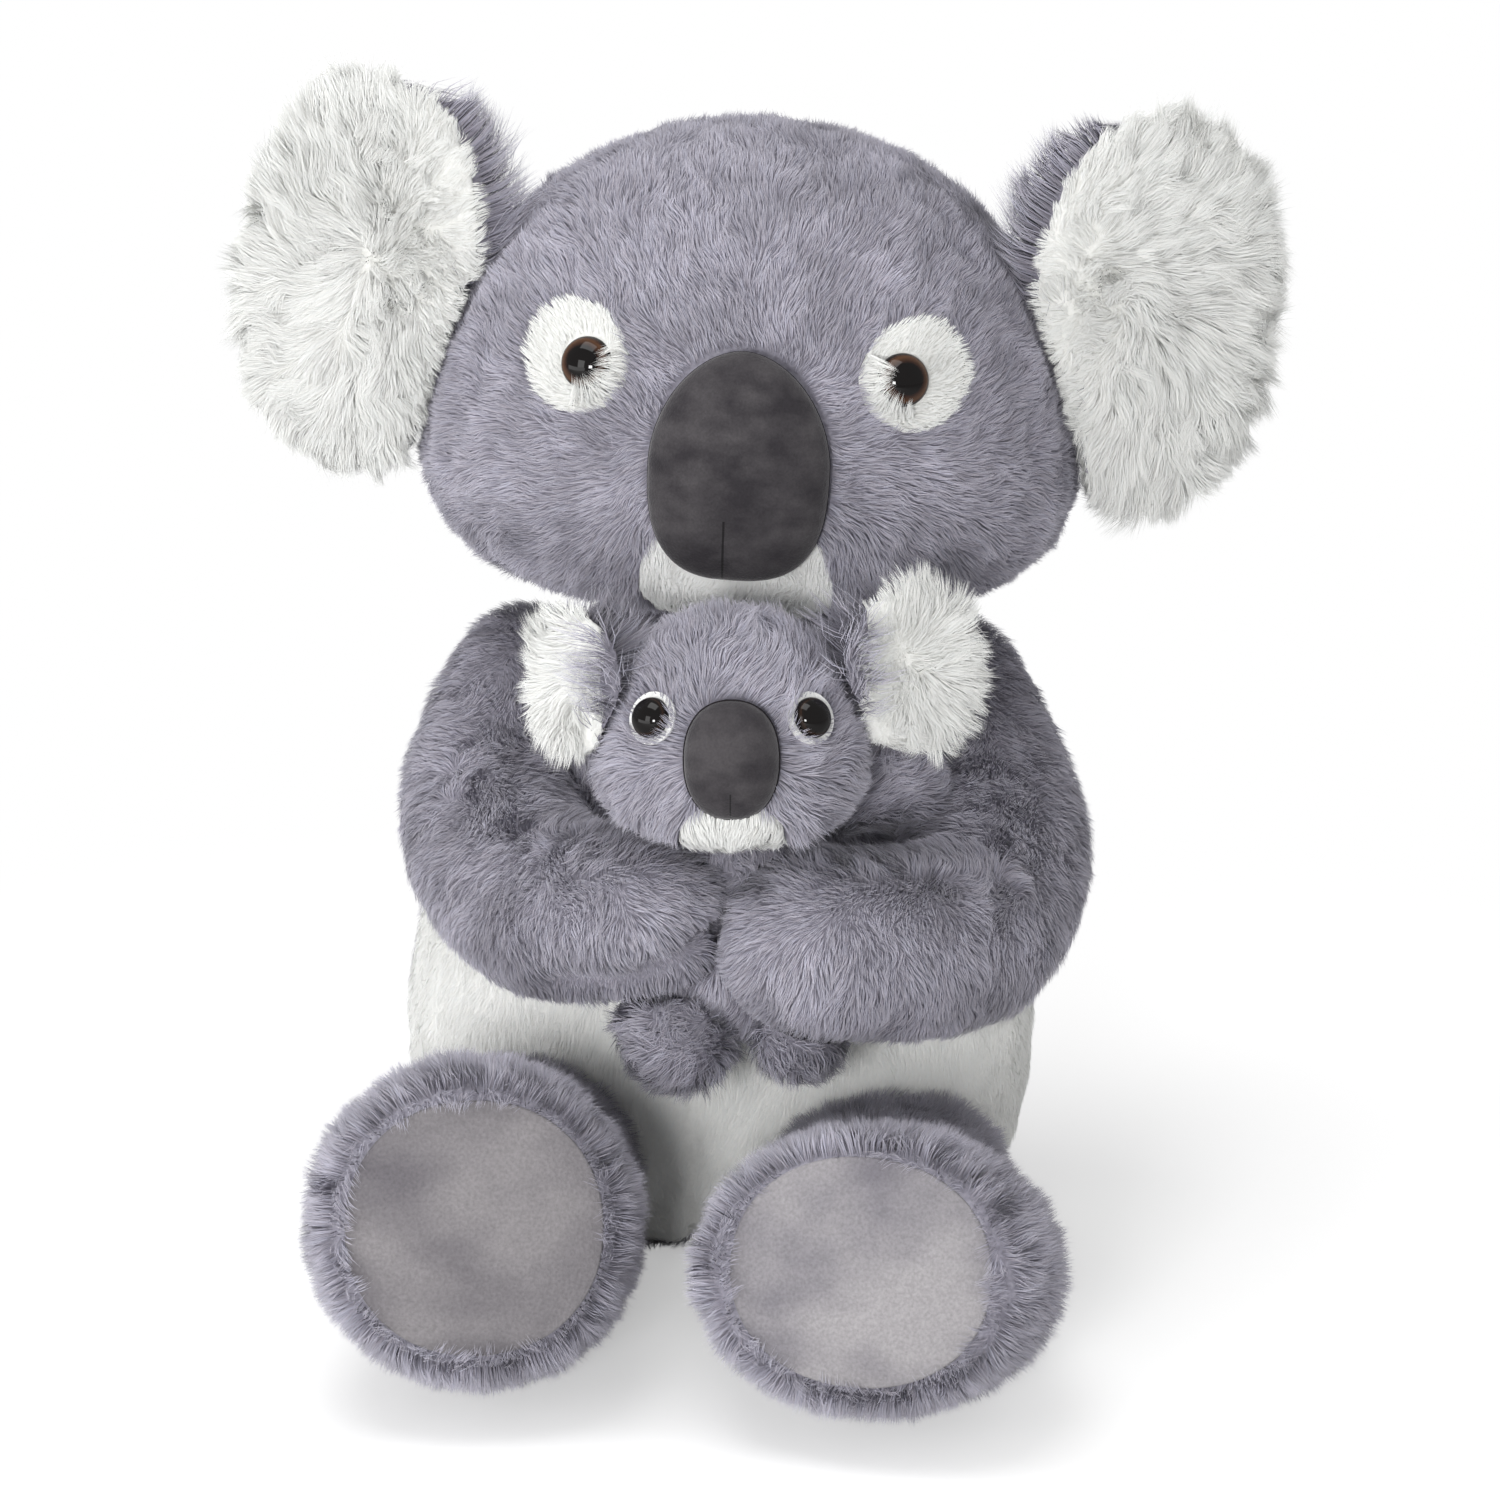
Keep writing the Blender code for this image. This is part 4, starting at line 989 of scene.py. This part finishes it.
def sole_velour(name, dark, light):
    """Rose grey velour, its nap brushed in broad strokes."""
    made, tree, shader = plain_shader(name, 0.8, 0.35, 0.2)
    strokes = noise(tree, 17.0, 2.5, (1, 1, 1.5))
    grain = noise(tree, 700.0)
    colour = ramp(tree, strokes, [(0.32, dark), (0.66, light)])
    colour = times(tree, colour, ramp(tree, grain, [(0.25, (0.80,) * 3), (0.75, (1.14,) * 3)]))
    tree.links.new(colour, shader.inputs["Base Color"])
    bumped(tree, shader, sums(tree, "ADD", strokes, grain), 0.0010, 0.4)
    return made


# The left sole is given darker colours than the right, though both are the same velour: painted shade.
sole_pad("sole_left", "leg_left", (0.112, 0.111, 0.006), 141, (0.132, 0.123, 0.136), (0.235, 0.222, 0.230))
sole_pad("sole_right", "leg_right", (0.115, 0.0985, 0.006), 142, (0.165, 0.156, 0.178), (0.325, 0.311, 0.321))


# Baby's body: a small stuffed body and four short limbs, stitched to the belly panel and held by
# both arms. Its pile is finer, longer and wilder than the mother's.
baby_shades = (*grey_shades[:2], (0.66, 0.645, 0.73))
baby_pile = pile_material("baby_pile_strands", baby_shades, 0.82, 1.15, 0.05)
baby_middle = (0.006, -0.144, 0.20)


def away_from(centre, lean):
    """A comb that runs out from a point on all sides, with a lean added."""
    return lambda roots, outs: unit(unit(roots - np.array(centre)) + np.array(lean))


baby_look = {"length": 0.0115, "width": 0.00045, "wild": 0.45, "tuft": (10, 0.45)}
stuffed(["baby_body"], "torso", away_from(baby_middle, (0, 0, -0.8)), 151, 0.003, 0.003, 0.8, **baby_look)
baby_foot_look = {"length": 0.0125, "width": 0.00045, "lay": (0.2, 0.62), "wild": 0.75, "stray": 0.9,
                  "tuft": (18, 0.6)}
for node, seed, look in (("baby_arm_left", 161, baby_look), ("baby_arm_right", 165, baby_look),
                         ("baby_leg_left", 171, baby_foot_look), ("baby_leg_right", 175, baby_foot_look)):
    stuffed([node], "torso", away_from(baby_middle, (0, -0.2, -0.3)), seed, 0.003, 0.003, 0.8, **look)


# Baby's head: shaggy grey plush round a small muzzle, stuffed and stitched to the body. The chin is
# a patch of white plush whose pile hangs down.
baby_head_place = Matrix.Translation((0.006, -0.1829, 0.24505))
baby_nose_middle = (0.006, -0.225, 0.292)


def baby_face_comb(roots, outs):
    """Out from the small nose on all sides."""
    way = unit(roots - np.array(baby_nose_middle))
    way[:, 2] += 0.3 * np.clip((roots[:, 2] - baby_nose_middle[2]) / 0.03, -1, 1)
    return unit(way)


baby_head_nodes = ["baby_head"] + sorted(n for n in every_node if n.startswith(("baby_eye", "baby_chin")))
baby_eyes = surface_of(["baby_eye_left", "baby_eye_right"])
baby_chin = surface_of(["baby_chin_patch"])
baby_bare = [(baby_eyes, 0.014), (surface_of(["baby_nose"]), 0.005), (baby_chin, 0.005)]
baby_skin, baby_roots, beside_baby = stuffed(
    baby_head_nodes, "torso", baby_face_comb, 181, 0.003, 0.0028, 0.85, bare=baby_bare, **baby_look)
cloth_on("baby_chin_patch_cloth", "baby_chin_patch", baby_skin, baby_chin, 0.005, white_knit, "torso")
on_baby_chin = under(baby_roots, baby_chin, 0.005)
coat("baby_chin_patch_pile", twice(chosen(baby_roots, on_baby_chin)), "torso", "white_pile", white_pile,
     downward, 185, length=0.010, width=0.0006, lay=(0.4, 0.8), tuft=(9, 0.4), beside=beside_baby)


# Baby's nose, felt rings and eyes: a velour nose like the mother's, and black-brown domes on thin
# rings of white felt.
baby_nose_size = (0.041, 0.053, 0.012)
baby_nose_rise = 0.046965
velour_nose("baby_nose", "torso", baby_head_place, baby_nose_size, (2.3, 2.3), 0.010, baby_nose_rise,
            (0.014, 0.0003, -0.0005))
baby_eye_diameter, baby_eye_stand = 0.018, 0.007
baby_iris = (0.80, (0.012, 0.007, 0.005), (0.030, 0.015, 0.009))
for node in ("baby_eye_left", "baby_eye_right"):
    safety_eye(node, "torso", baby_eye_diameter, baby_eye_stand, baby_iris)
felt_white, tree, shader = plain_shader("felt_fibres", 0.95, 0.3, 0.2)
mottle = noise(tree, 900.0)
felt_shades = [(0.3, (0.72, 0.72, 0.71)), (0.7, (0.86, 0.86, 0.85))]
tree.links.new(ramp(tree, mottle, felt_shades), shader.inputs["Base Color"])
bumped(tree, shader, mottle, 0.0006)
for node in ("baby_eye_ring_left", "baby_eye_ring_right"):
    dressed(node, felt_white)


# Baby's ears: small flat pads, sewn to the sides of the head. They are grey behind and along their
# inner edge, with long spiky white pile in front.
for hand, whorl, inner in (
    ("left", (-0.052, -0.19, 0.318), (-0.051, -0.014)),
    ("right", (0.081, -0.185, 0.318), (0.065, 0.018)),
):
    ear = "baby_ear_" + hand
    outer = math.copysign(1, inner[1])
    spread, white, beside = ear_pad(ear, "torso", 0.0025, 4, 0.0025, 0.006, 191,
                                    within=lambda spot: (spot.x - inner[0]) * outer > 0)
    wander = 0.004 * drift(spread[0], 0.008, 195)[:, 0]
    white &= (spread[0][:, 0] - inner[0]) * outer > wander
    coat(ear + "_front_pile", twice(chosen(spread, white)), "torso", "white_pile", white_pile,
         spread_from(whorl, 0.015), 193, length=0.0175, tuft=(30, 0.7), beside=beside,
         longer=shorter_inside(*inner, 0.35), **ear_look)

    def parted(roots, outs):
        """Out over the white at the ear's middle, and over the head at its inner edge."""
        share = np.clip((inner[0] - roots[:, 0]) / inner[1], 0, 1)
        return np.stack([outer * (0.4 - share), -0.3 + 0 * share, 0.35 + 0.2 * share], axis=1)

    coat(ear + "_back_pile", chosen(spread, ~white), "torso", "grey_pile", baby_pile, parted, 197,
         length=0.0105, lay=(0.35, 0.8), wild=0.5, longer=longer_at_head(*inner))


# Floor and backdrop: a plain white floor that keeps the toy's own shadow and runs into white. It
# has no edge in sight, like a paper sweep.
def mixed(tree, share, first, second):
    """Two shaders mixed by a share."""
    node = tree.nodes.new("ShaderNodeMixShader")
    for entry, value in zip(node.inputs, (share, first, second)):
        tree.links.new(value, entry)
    return node.outputs[0]


floor_mesh = bpy.data.meshes.new("floor")
floor_mesh.from_pydata([(-20, -20, 0), (20, -20, 0), (20, 20, 0), (-20, 20, 0)], [], [(0, 1, 2, 3)])
floor = bpy.data.objects.new("floor", floor_mesh)
bpy.context.collection.objects.link(floor)
floor.location.z = -0.0005
floor_white, tree, shader = plain_shader("floor_white", 0.9, 0.0, 0.1)
shader.inputs["Base Color"].default_value = (0.8, 0.8, 0.8, 1)
seen = tree.nodes.new("ShaderNodeLightPath")
glow = tree.nodes.new("ShaderNodeEmission")
glow.inputs["Strength"].default_value = 0.42
lit = tree.nodes.new("ShaderNodeAddShader")
tree.links.new(shader.outputs[0], lit.inputs[0])
tree.links.new(glow.outputs[0], lit.inputs[1])
plain = tree.nodes.new("ShaderNodeEmission")
place = tree.nodes.new("ShaderNodeTexCoord")
away = tree.nodes.new("ShaderNodeVectorMath")
away.operation = "LENGTH"
tree.links.new(place.outputs["Object"], away.inputs[0])
fade = tree.nodes.new("ShaderNodeMapRange")
fade.interpolation_type = "SMOOTHSTEP"
fade.inputs["From Min"].default_value = 0.30
fade.inputs["From Max"].default_value = 0.75
tree.links.new(away.outputs["Value"], fade.inputs["Value"])
faded = mixed(tree, fade.outputs[0], lit.outputs[0], plain.outputs[0])
shown = mixed(tree, seen.outputs["Is Camera Ray"], shader.outputs[0], faded)
tree.links.new(shown, tree.nodes["Material Output"].inputs["Surface"])
floor_mesh.materials.append(floor_white)


# Light: a soft lamp from the left front, a small one from the front, a long low one from the left that
# reaches under the chin and the arms, one from above, and an even white surround.
toy_middle = 0.28


def soft_lamp(name, spot, size, power):
    """A rectangular lamp that looks at the toy's middle."""
    data = bpy.data.lights.new(name, "AREA")
    data.shape = "RECTANGLE"
    data.size, data.size_y = size
    data.energy = power
    lamp = bpy.data.objects.new(name, data)
    bpy.context.collection.objects.link(lamp)
    lamp.location = spot
    aim = Vector(spot) - Vector((0, 0, toy_middle))
    lamp.rotation_euler = aim.to_track_quat("Z", "Y").to_euler()


soft_lamp("key", (-1.8, -2.2, 1.05), (1.0, 1.0), 11)
soft_lamp("front", (-0.45, -2.7, 0.70), (0.5, 0.4), 33)
soft_lamp("side", (-2.3, -1.6, 0.30), (3.0, 0.5), 12)
soft_lamp("top", (-0.4, -0.5, 2.4), (1.6, 1.2), 20)
surround = bpy.data.worlds.new("surround")
bpy.context.scene.world = surround
surround.use_nodes = True
tree = surround.node_tree
even = tree.nodes["Background"]
even.inputs["Strength"].default_value = 0.50
clear = tree.nodes.new("ShaderNodeBackground")
seen = tree.nodes.new("ShaderNodeLightPath")
either = sums(tree, "MAXIMUM", seen.outputs["Is Camera Ray"], seen.outputs["Is Transmission Ray"])
even.inputs["Color"].default_value = (1, 1, 1, 1)
clear.inputs["Color"].default_value = (1, 1, 1, 1)
shown = mixed(tree, either, even.outputs[0], clear.outputs[0])
tree.links.new(shown, tree.nodes["World Output"].inputs["Surface"])
bpy.context.scene.view_settings.view_transform = "Standard"


# Camera: a long lens from the front, a little above the toy, looking down on it from about two and
# a half metres.
camera = bpy.data.objects.new("camera", bpy.data.cameras.new("camera"))
bpy.context.collection.objects.link(camera)
camera.location = (0.014, -2.4648, 0.8945)
camera.rotation_euler = (math.radians(75), 0, 0)
camera.data.lens = 128.545
camera.data.sensor_width = 36
bpy.context.scene.camera = camera
